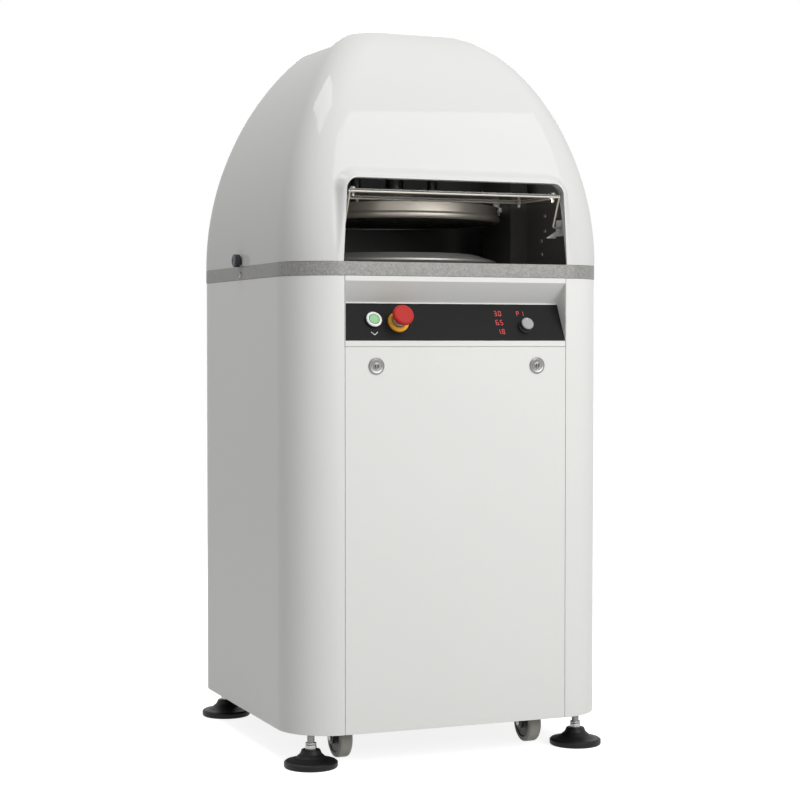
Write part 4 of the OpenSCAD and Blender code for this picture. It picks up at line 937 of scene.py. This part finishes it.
class ROUNDER_OT_controls(bpy.types.Operator):
    """Makes the start button, the stop button and the dial"""

    bl_idname = "rounder.controls"
    bl_label = "Controls"

    def execute(self, context):
        self.start_button()
        self.stop_button()
        self.dial()
        return {"FINISHED"}

    def start_button(self):
        at = on_slope(*START)
        body = Shape()
        ring = [(10.5, -3), (10.5, 8.2), (11.3, 9), (13.6, 9), (15, 7.6), (15, 6.4)]
        body.spin(at, ring, 0.4, 72)
        body.finish = 1
        skirt = [(15, 6.4), (15.4, 5.8), (15.4, FASCIA), (11, FASCIA), (11, -14), (5, -14)]
        body.spin(at, skirt, 0.3, 72)
        body.spin(at, [(10.5, -3), (5.1, -3), (5.1, -20)], 0.2, 72)
        body.add(block((-15, -15, -44), (15, 15, -14)), 0.8, at)
        piece("start_button_body", body, "frame", "button_white", ["dial_black"])
        cap = Shape()
        dome = [(0, 5.7), (10, 5.7), (10, 8.6), (9.2, 9.4), (7.6, 9.4), (7, 9), (0, 9)]
        cap.spin(at, dome, 0.6, 72)
        rod_line = [(0, -17), (5, -17), (5, 6), (0, 6)]
        cap.spin(at, rod_line, 0.3, 40)
        piece("start_button_cap", cap, "start_button", "button_green")

    def stop_button(self):
        at = on_slope(*STOP)
        base = Shape()
        collar = [(12.6, 3), (12.6, 8.2), (13.4, 9), (16, 9), (19.4, 6.4), (20, 5),
                  (20, FASCIA), (11, FASCIA), (11, -14)]
        base.spin(at, collar, 0.5, 80)
        base.finish = 1
        base.spin(at, [(12.6, 3), (5.1, 3), (5.1, -22)], 0.2, 64)
        base.add(block((-15, -15, -44), (15, 15, -14)), 0.8, at)
        piece("estop_base", base, "frame", "stop_yellow", ["dial_black"])
        stem = Shape()
        neck = [(0, -16), (5, -16), (5, 8.5), (12, 8.5), (12, 10.4), (11.2, 11), (12, 11.6),
                (12, 13.4), (11.2, 14), (12, 14.6), (12, 17), (5, 17), (5, 30), (0, 30)]
        stem.spin(at, neck, 0.3, 64)
        piece("estop_stem", stem, "stop_stem", "stop_grey")
        head = Shape()
        cap = [(5.1, 17.3), (13.4, 17.3), (14.6, 20), (18.6, 25.6), (20, 28.4), (20, 32.6), (18.8, 35.2),
               (16.4, 36.4), (9, 36.5), (8.4, 36.2), (0, 36.2)]
        head.spin(at, cap, 1.4, 96, 3)
        head.spin(at, [(5.1, 17.3), (5.1, 30.3), (0, 30.3)], 0.1, 40)
        piece("estop_mushroom", head, "stop_head", "stop_red")

    def dial(self):
        at = on_slope(*DIAL)
        socket = Shape()
        socket.spin(at, [(3.1, 1.5), (5, 1.5), (5, -14)], 0.3, 40)
        socket.add(block((-8, -8, -24), (8, 8, -14)), 0.5, at)
        piece("dial_encoder", socket, "frame", "dial_black")
        knob = Shape()
        skirt = [(0, -19), (3, -19), (3, 2), (13.5, 2), (13.5, 5), (12.4, 7),
                 (12, 12.6), (12, 14)]
        flutes = (32, 0.35, 6, 13.5)
        knob.spin(at, skirt, 0.4, 96, wave=flutes)
        knob.finish = 1
        cap = [(12, 14), (12, 16.2), (10.6, 17.4), (7, 17.5), (0, 17.3)]
        knob.spin(at, cap, 0.8, 96)
        knob.finish = 2
        knob.add(block((-0.4, 6.4, 17.3), (0.4, 10.4, 17.6)), turn=at)
        piece("dial_knob", knob, "dial", "dial_black", ["dial_grey", "mark_white"])


# Ring, table and head


def ring_plan(grow):
    """Plan of the cast ring with round corners, as points round it."""
    r = CORNER_R + grow
    x, y = HALF_W - CORNER_R, REAR - CORNER_R
    middles = ((x, -y, -90), (x, y, 0), (-x, y, 90), (-x, -y, 180))
    arcs = [quarter(cx, cy, r, first, 24) for cx, cy, first in middles]
    out = []
    for arc, following in zip(arcs, arcs[1:] + arcs[:1]):
        end, start = Vector(arc[-1]), Vector(following[0])
        out += arc + [tuple(end.lerp(start, k / 24)) for k in range(1, 24)]
    return out


class ROUNDER_OT_ring(bpy.types.Operator):
    """Makes the cast ring with soft edges and its round pocket"""

    bl_idname = "rounder.ring"
    bl_label = "Ring"

    def execute(self, context):
        soft = sizes().ring_edge / MM
        proud, pocket_r, pocket_z, bore_r = 1, 214, 906, 55
        turns = [math.radians(90 * k / 3) for k in range(4)]
        levels = [(CABINET_TOP + soft - soft * math.cos(turn), math.sin(turn)) for turn in turns]
        levels += [(RING_TOP - soft + soft * math.sin(turn), math.cos(turn)) for turn in turns]
        rings = [[(x, y, z) for x, y in ring_plan(proud - soft + soft * out)] for z, out in levels]
        plan = ring_plan(proud)

        def circle(r, z):
            return [(r * x / math.hypot(x, y), r * y / math.hypot(x, y), z) for x, y in plan]

        rings += [circle(pocket_r + 1, RING_TOP), circle(pocket_r, RING_TOP - 1), circle(pocket_r, pocket_z)]
        rings += [circle(bore_r, pocket_z), circle(bore_r, CABINET_TOP)]
        shape = Shape().add(loft(rings, looped=True))
        piece("top_ring", shape, "frame", "ring_grey", smooth=45)
        return {"FINISHED"}


class ROUNDER_OT_table(bpy.types.Operator):
    """Finishes the orbiting table, the moulding plate and their cranks"""

    bl_idname = "rounder.table"
    bl_label = "Table"

    def execute(self, context):
        dress("plate_alloy", "rounding_table")
        self.plate()
        dress("shaft_steel", "main_crank", "side_crank_left", "side_crank_right", "main_bearings")
        dress("pulley_iron", "driven_pulley", "motor_pulley")
        dress("belt_rubber", "drive_belt")
        dress("housing_iron", "bearing_housing")
        return {"FINISHED"}

    def plate(self):
        """The moulding plate, with a sloped shoulder, studs and two notches for the table's pins."""
        middle = Matrix.Translation((0, PLATE_Y, 0))
        shape = Shape()
        studs, stud_r = 22, 166
        line = [(0, 942), (150, 942), (150, 930), (201, 930), (206, 934), (206, 938),
                (168, 950), (160, 951), (0, 951)]
        shape.spin(middle, line, 1.5, 144)
        stud = [(0, 946), (1.5, 946), (1.5, 952.4), (0, 953)]
        for k in range(studs):
            turn = middle @ Matrix.Rotation(math.radians((k + 0.5) * 360 / studs), 4, "Z")
            shape.spin(turn @ Matrix.Translation((0, -stud_r, 0)), stud, 0.4, 16)
        made = piece("moulding_plate", shape, "plate", "plate_alloy")
        cutter = Shape()
        for x in (-60, 60):
            cutter.add(block((x - 6.5, 181, 920), (x + 6.5, 230, 960)))
        cut_away(made, cutter, 40)


class ROUNDER_OT_press(bpy.types.Operator):
    """Finishes the dividing head, the press frame and the sensor"""

    bl_idname = "rounder.press"
    bl_label = "Press"

    def execute(self, context):
        dress("stainless", "head_plate", "press_ring")
        # Painted shade: near-black knives for the shade under the head
        dress("knife_painted_shade", "knife_set")
        # Painted shade: near-black plates for the shade under the head
        dress("press_white", "press_plates")
        dress("frame_paint", "press_frame", "base_frame")
        plates, brackets = Shape(), Shape()
        for _, side in SIDES:
            mirror = mirrored(side)
            plates.add(block((262, -272, RING_TOP), (265, -27, 1055)), 0.5, mirror)
            brackets.add(block((228, -266, 980), (265, -263, 1010)), 0.5, mirror)
            gusset = [(206, 976), (228, 976), (228, 990)]
            brackets.add(prism(gusset, -266, -263, "Y"), 0.3, mirror)
            ear = holed((228, -297, 980), (231, -265, 1010), GUARD_PIVOT, 2.1)
            brackets.add(ear, turn=mirror)
        for shape in (plates, brackets):
            bmesh.ops.recalc_face_normals(shape.bm, faces=shape.bm.faces)
        piece("side_plates", plates, "frame", "frame_paint")
        piece("guard_brackets", brackets, "frame", "frame_paint", stands_for=["side_plates"], paint="galvanised")
        dress("shaft_steel", "guide_rods", "press_ram", "press_cylinder", "oil_pipe")
        sensor = Shape()
        x, y, low = 217.2, -17, 1028.1
        line = [(0, low + 6), (7, low + 6), (7, low + 11), (6.4, low + 11.6), (7, low + 12.2),
                (7, low + 31), (5, low + 32), (0, low + 32)]
        at = Matrix.Translation((x, y, 0))
        sensor.spin(at, line, 0.4, 40)
        sensor.add(block((x, y - 7, low + 12), (225, y + 7, low + 22)), 0.6)
        sensor.finish = 1
        sensor.spin(at, [(0, low), (4, low), (5.6, low + 2), (5.6, low + 6)], 1, 40)
        piece("head_sensor", sensor, "frame", "sensor_grey", ["sensor_tip"])
        return {"FINISHED"}


class ROUNDER_OT_guard(bpy.types.Operator):
    """Makes the guard's bent wire frame, its clamps and the clear sheet"""

    bl_idname = "rounder.guard"
    bl_label = "Guard"

    def execute(self, context):
        r = sizes().wire / MM
        half, front, rear, level = 211, FRONT + 6, FRONT + 172, 1051
        ends, inset = 234, 9
        wires = Shape()
        hoop = [(ends, *GUARD_PIVOT), (half, *GUARD_PIVOT), (half, front, level),
                (-half, front, level), (-half, *GUARD_PIVOT), (-ends, *GUARD_PIVOT)]
        wires.add(tube(rounded(hoop, 4, 5), r))
        frame_line = [(half, front, level), (half, rear, level), (-half, rear, level), (-half, front, level)]
        wires.add(tube(rounded(frame_line, 5, 6), r))
        head = [(0, 1056), (5, 1056), (5, 1058.5), (3.6, 1060), (0, 1060)]
        nut = [(0, 1053), (4.6, 1053), (4.6, 1048), (0, 1047)]
        cap = [(0, 1048), (3.2, 1047), (3.2, 1042.5), (0, 1040)]
        for _, side in SIDES:
            for y in (front + inset, rear - inset):
                at = Matrix.Translation((side * (half - inset), y, 0))
                for line, soft, steps in ((head, 0.5, 32), (nut, 0.4, 6), (cap, 1.2, 24)):
                    wires.spin(at, line, soft, steps)
        piece("guard_frame", wires, "guard", "bright_rod")
        sheet = Shape()
        sheet.add(block((-213, FRONT + 4, 1053), (213, FRONT + 174, 1056)), 0.6)
        piece("guard_panel", sheet, "guard", "guard_clear")
        return {"FINISHED"}


class ROUNDER_OT_services(bpy.types.Operator):
    """Finishes the motors, the oil tank, the electrical box and the gland"""

    bl_idname = "rounder.services"
    bl_label = "Services"

    def execute(self, context):
        dress("motor_paint", "rounding_motor", "pump_motor")
        dress("tank_paint", "oil_tank")
        dress("box_paint", "electrical_box")
        dress("knob_dark", "cable_gland")
        return {"FINISHED"}


# Feet and castors


class ROUNDER_OT_feet(bpy.types.Operator):
    """Makes the levelling feet: moulded pad, threaded spindle and hexagon nut"""

    bl_idname = "rounder.feet"
    bl_label = "Feet"

    def execute(self, context):
        pad = [(0, 0), (47.5, 0), (49.5, 2.5), (49.5, 10), (46.5, 12.5), (38, 14.5), (28, 18.5),
               (20.5, 25), (18, 30.5), (17, 33), (7.1, 33), (7.1, 15), (0, 15)]
        core_r, crest_r, pitch, low, high = 6.2, 7, 2, 15.1, 154
        thread = [(0, low)]
        z = low
        while z < high - pitch:
            thread += [(core_r, z + 0.2), (crest_r, z + 0.9), (crest_r, z + 1.1), (core_r, z + 1.8)]
            z += pitch
        thread += [(core_r, high), (0, high)]
        nut = hexagon(11)
        for place, x, y in corners(FOOT):
            name = f"foot_{place}"
            at = Matrix.Translation((x, y, 0))
            foot = Shape()
            foot.spin(at, pad, 1.6, 72)
            piece(f"{name}_pad", foot, name, "foot_black", stands_for=[name])
            spindle = Shape()
            spindle.add(lathe(thread, 28), turn=at)
            spindle.add(prism(nut, 33.1, 41), 0.8, at)
            spindle.add(prism(nut, 42.5, 45), 0.6, at)
            piece(f"{name}_spindle", spindle, name, "foot_black", stands_for=[name], smooth=25, paint="zinc")
        return {"FINISHED"}


class ROUNDER_OT_castors(bpy.types.Operator):
    """Makes the castors: pressed forks, axles and two-part wheels"""

    bl_idname = "rounder.castors"
    bl_label = "Castors"

    def execute(self, context):
        self.forks()
        tread = [(28.5, -12.5), (33.5, -13), (36.6, -11), (37.5, -8), (37.5, 8), (36.6, 11),
                 (33.5, 13), (28.5, 12.5)]
        core = [(4.05, -15), (12, -15), (12, -11.5), (14.5, -10.5), (26.5, -10.5), (28.5, -12.5),
                (28.5, 12.5), (26.5, 10.5), (14.5, 10.5), (12, 11.5), (12, 15), (4.05, 15)]
        for place, x, y in corners(CASTOR):
            wheel = Shape()
            at = facing((x, y, AXLE_Z), (1, 0, 0))
            wheel.spin(at, tread, 1.2, 72, closed=True)
            wheel.finish = 1
            wheel.spin(at, core, 0.7, 72, closed=True)
            name = f"wheel_{place}"
            piece(f"castor_{name}", wheel, name, "wheel_grey", ["wheel_side"])
        return {"FINISHED"}

    def forks(self):
        """All the forks with their axles, as one piece."""
        forks = Shape()
        half, top, wall = 19.2, 99, 3
        cheek = [(-13, AXLE_Z), (-9.2, AXLE_Z - 9.2), (0, AXLE_Z - 13), (9.2, AXLE_Z - 9.2),
                 (13.5, AXLE_Z), (30, 84), (33, top), (-14, top), (-14, 80)]
        cheek = rounded(cheek, 5, closed=True)
        cap = [(0, 0), (6.8, 0), (6.8, 2.4), (4.2, 3.2), (0, 3.2)]
        for x in (-CASTOR[0], CASTOR[0]):
            for y in (-CASTOR[1], CASTOR[1]):
                at = Matrix.Translation((x, y, 0))
                forks.add(block((-half, -34, top), (half, 34, top + wall)), 0.8, at)
                for low in (-half, half - wall):
                    forks.add(prism(cheek, low, low + wall, "X"), 0.5, at)
                forks.finish = 1
                rod(forks, (x - half - 2, y, AXLE_Z), (x + half + 2, y, AXLE_Z), 4, 0.6)
                for _, side in SIDES:
                    end = facing((x + side * half, y, AXLE_Z), (side, 0, 0))
                    forks.spin(end, cap, 0.4, 6)
                forks.finish = 0
        piece("castor_forks", forks, "frame", "castor_black", ["zinc"])


# Stage


class ROUNDER_OT_stage(bpy.types.Operator):
    """Sets the camera, the soft boxes, the pale floor and the white room"""

    bl_idname = "rounder.stage"
    bl_label = "Stage"

    def execute(self, context):
        scene = context.scene
        scene.view_settings.view_transform = "Standard"
        self.camera(scene)
        light = scene.rounder_light
        self.soft_box("key_box", (0.85, -2.8, 2.3), (0.0, -0.2, 1.1), 2.2, 2.9, light.key)
        self.soft_box("top_box", (-1.25, 0.0, 3.1), (0.0, 0.0, 1.1), 1.6, 0.7, light.top)
        self.soft_box("rear_box", (1.2, 2.8, 2.2), (0.0, 0.2, 0.8), 1.8, 1.8, light.rear)
        self.soft_box("bay_box", (0.0, -0.29, 1.044), (0.03, 0.1, 1.0), 0.4, 0.012, light.bay, False)
        self.soft_box("loft_box", (0.0, -0.27, 1.072), (0.0, 0.3, 1.2), 0.36, 0.01, light.loft, False)
        self.room(scene, light.room)
        self.floor()
        return {"FINISHED"}

    def camera(self, scene):
        lens = bpy.data.cameras.new("camera")
        lens.lens = 86.46
        lens.sensor_width = 36.0
        lens.clip_end = 100.0
        made = bpy.data.objects.new("camera", lens)
        turn, fall = math.radians(22.02), math.radians(1.72)
        look = Vector((math.sin(turn) * math.cos(fall), math.cos(turn) * math.cos(fall), -math.sin(fall)))
        made.location = (-1.43119, -3.56997, 0.77747)
        made.rotation_euler = look.to_track_quat("-Z", "Y").to_euler()
        scene.collection.objects.link(made)
        scene.camera = made

    def soft_box(self, name, place, aim, wide, high, power, mirrored=True):
        lamp = bpy.data.lights.new(name, "AREA")
        lamp.shape = "RECTANGLE"
        lamp.size, lamp.size_y = wide, high
        lamp.energy = power
        made = bpy.data.objects.new(name, lamp)
        made.location = place
        made.rotation_euler = (Vector(aim) - Vector(place)).to_track_quat("-Z", "Y").to_euler()
        made.visible_camera = False
        made.visible_transmission = False
        made.visible_glossy = mirrored
        bpy.context.scene.collection.objects.link(made)

    def room(self, scene, strength):
        world = bpy.data.worlds.new("room")
        world.use_nodes = True
        tree = world.node_tree
        seen = self.seen_directly(tree)
        power = node(tree, "MapRange", {"Value": seen, "To Min": strength, "To Max": 1.0})
        tree.links.new(power.outputs[0], tree.nodes["Background"].inputs["Strength"])
        tree.nodes["Background"].inputs["Color"].default_value = (1.0, 1.0, 1.0, 1.0)
        scene.world = world

    def seen_directly(self, tree):
        """One where a ray comes from the camera, by way of a mirror or through the clear sheet too."""
        path = node(tree, "LightPath").outputs
        through = maths(tree, "MAXIMUM", path["Is Camera Ray"], path["Is Transmission Ray"])
        return maths(tree, "MAXIMUM", through, path["Is Glossy Ray"])

    def floor(self):
        mesh = bpy.data.meshes.new("floor")
        half = 14.0
        square = [(-half, -half, 0), (half, -half, 0), (half, half, 0), (-half, half, 0)]
        mesh.from_pydata(square, [], [(0, 1, 2, 3)])
        made = bpy.data.objects.new("floor", mesh)
        bpy.context.scene.collection.objects.link(made)
        paint = bpy.data.materials.new("floor_white")
        paint.use_nodes = True
        tree = paint.node_tree
        tree.nodes.clear()
        out = node(tree, "OutputMaterial")
        matt = node(tree, "BsdfDiffuse", {"Color": (0.56, 0.56, 0.56, 1.0)})
        glow = node(tree, "Emission", {"Color": (1.0, 1.0, 1.0, 1.0)})
        lift = node(tree, "MapRange", {"Value": self.seen_directly(tree), "To Min": 0.0, "To Max": 0.85})
        tree.links.new(lift.outputs[0], glow.inputs["Strength"])
        both = node(tree, "AddShader", {0: matt.outputs[0], 1: glow.outputs[0]})
        tree.links.new(both.outputs[0], out.inputs["Surface"])
        mesh.materials.append(paint)


STEPS = (
    ROUNDER_OT_stage,
    ROUNDER_OT_hood,
    ROUNDER_OT_hood_knobs,
    ROUNDER_OT_covers,
    ROUNDER_OT_screws,
    ROUNDER_OT_locks,
    ROUNDER_OT_console,
    ROUNDER_OT_controls,
    ROUNDER_OT_ring,
    ROUNDER_OT_table,
    ROUNDER_OT_press,
    ROUNDER_OT_guard,
    ROUNDER_OT_services,
    ROUNDER_OT_feet,
    ROUNDER_OT_castors,
)


class ROUNDER_PT_panel(bpy.types.Panel):
    """Lists the steps that build the machine's looks"""

    bl_idname = "ROUNDER_PT_panel"
    bl_label = "Divider rounder"
    bl_space_type = "VIEW_3D"
    bl_region_type = "UI"
    bl_category = "Rounder"

    def draw(self, context):
        for step in STEPS:
            self.layout.operator(step.bl_idname)
        for group in (context.scene.rounder_sizes, context.scene.rounder_colours, context.scene.rounder_light):
            for key in group.bl_rna.properties.keys():
                if key not in ("rna_type", "name"):
                    self.layout.prop(group, key)


CLASSES = (RounderSizes, RounderColours, RounderLight, *STEPS, ROUNDER_PT_panel)


def register():
    for item in CLASSES:
        bpy.utils.register_class(item)
    bpy.types.Scene.rounder_sizes = PointerProperty(type=RounderSizes)
    bpy.types.Scene.rounder_colours = PointerProperty(type=RounderColours)
    bpy.types.Scene.rounder_light = PointerProperty(type=RounderLight)


def unregister():
    del bpy.types.Scene.rounder_light
    del bpy.types.Scene.rounder_colours
    del bpy.types.Scene.rounder_sizes
    for item in reversed(CLASSES):
        bpy.utils.unregister_class(item)


def main():
    register()
    for step in STEPS:
        family, name = step.bl_idname.split(".")
        getattr(getattr(bpy.ops, family), name)()


if __name__ == "__main__":
    main()
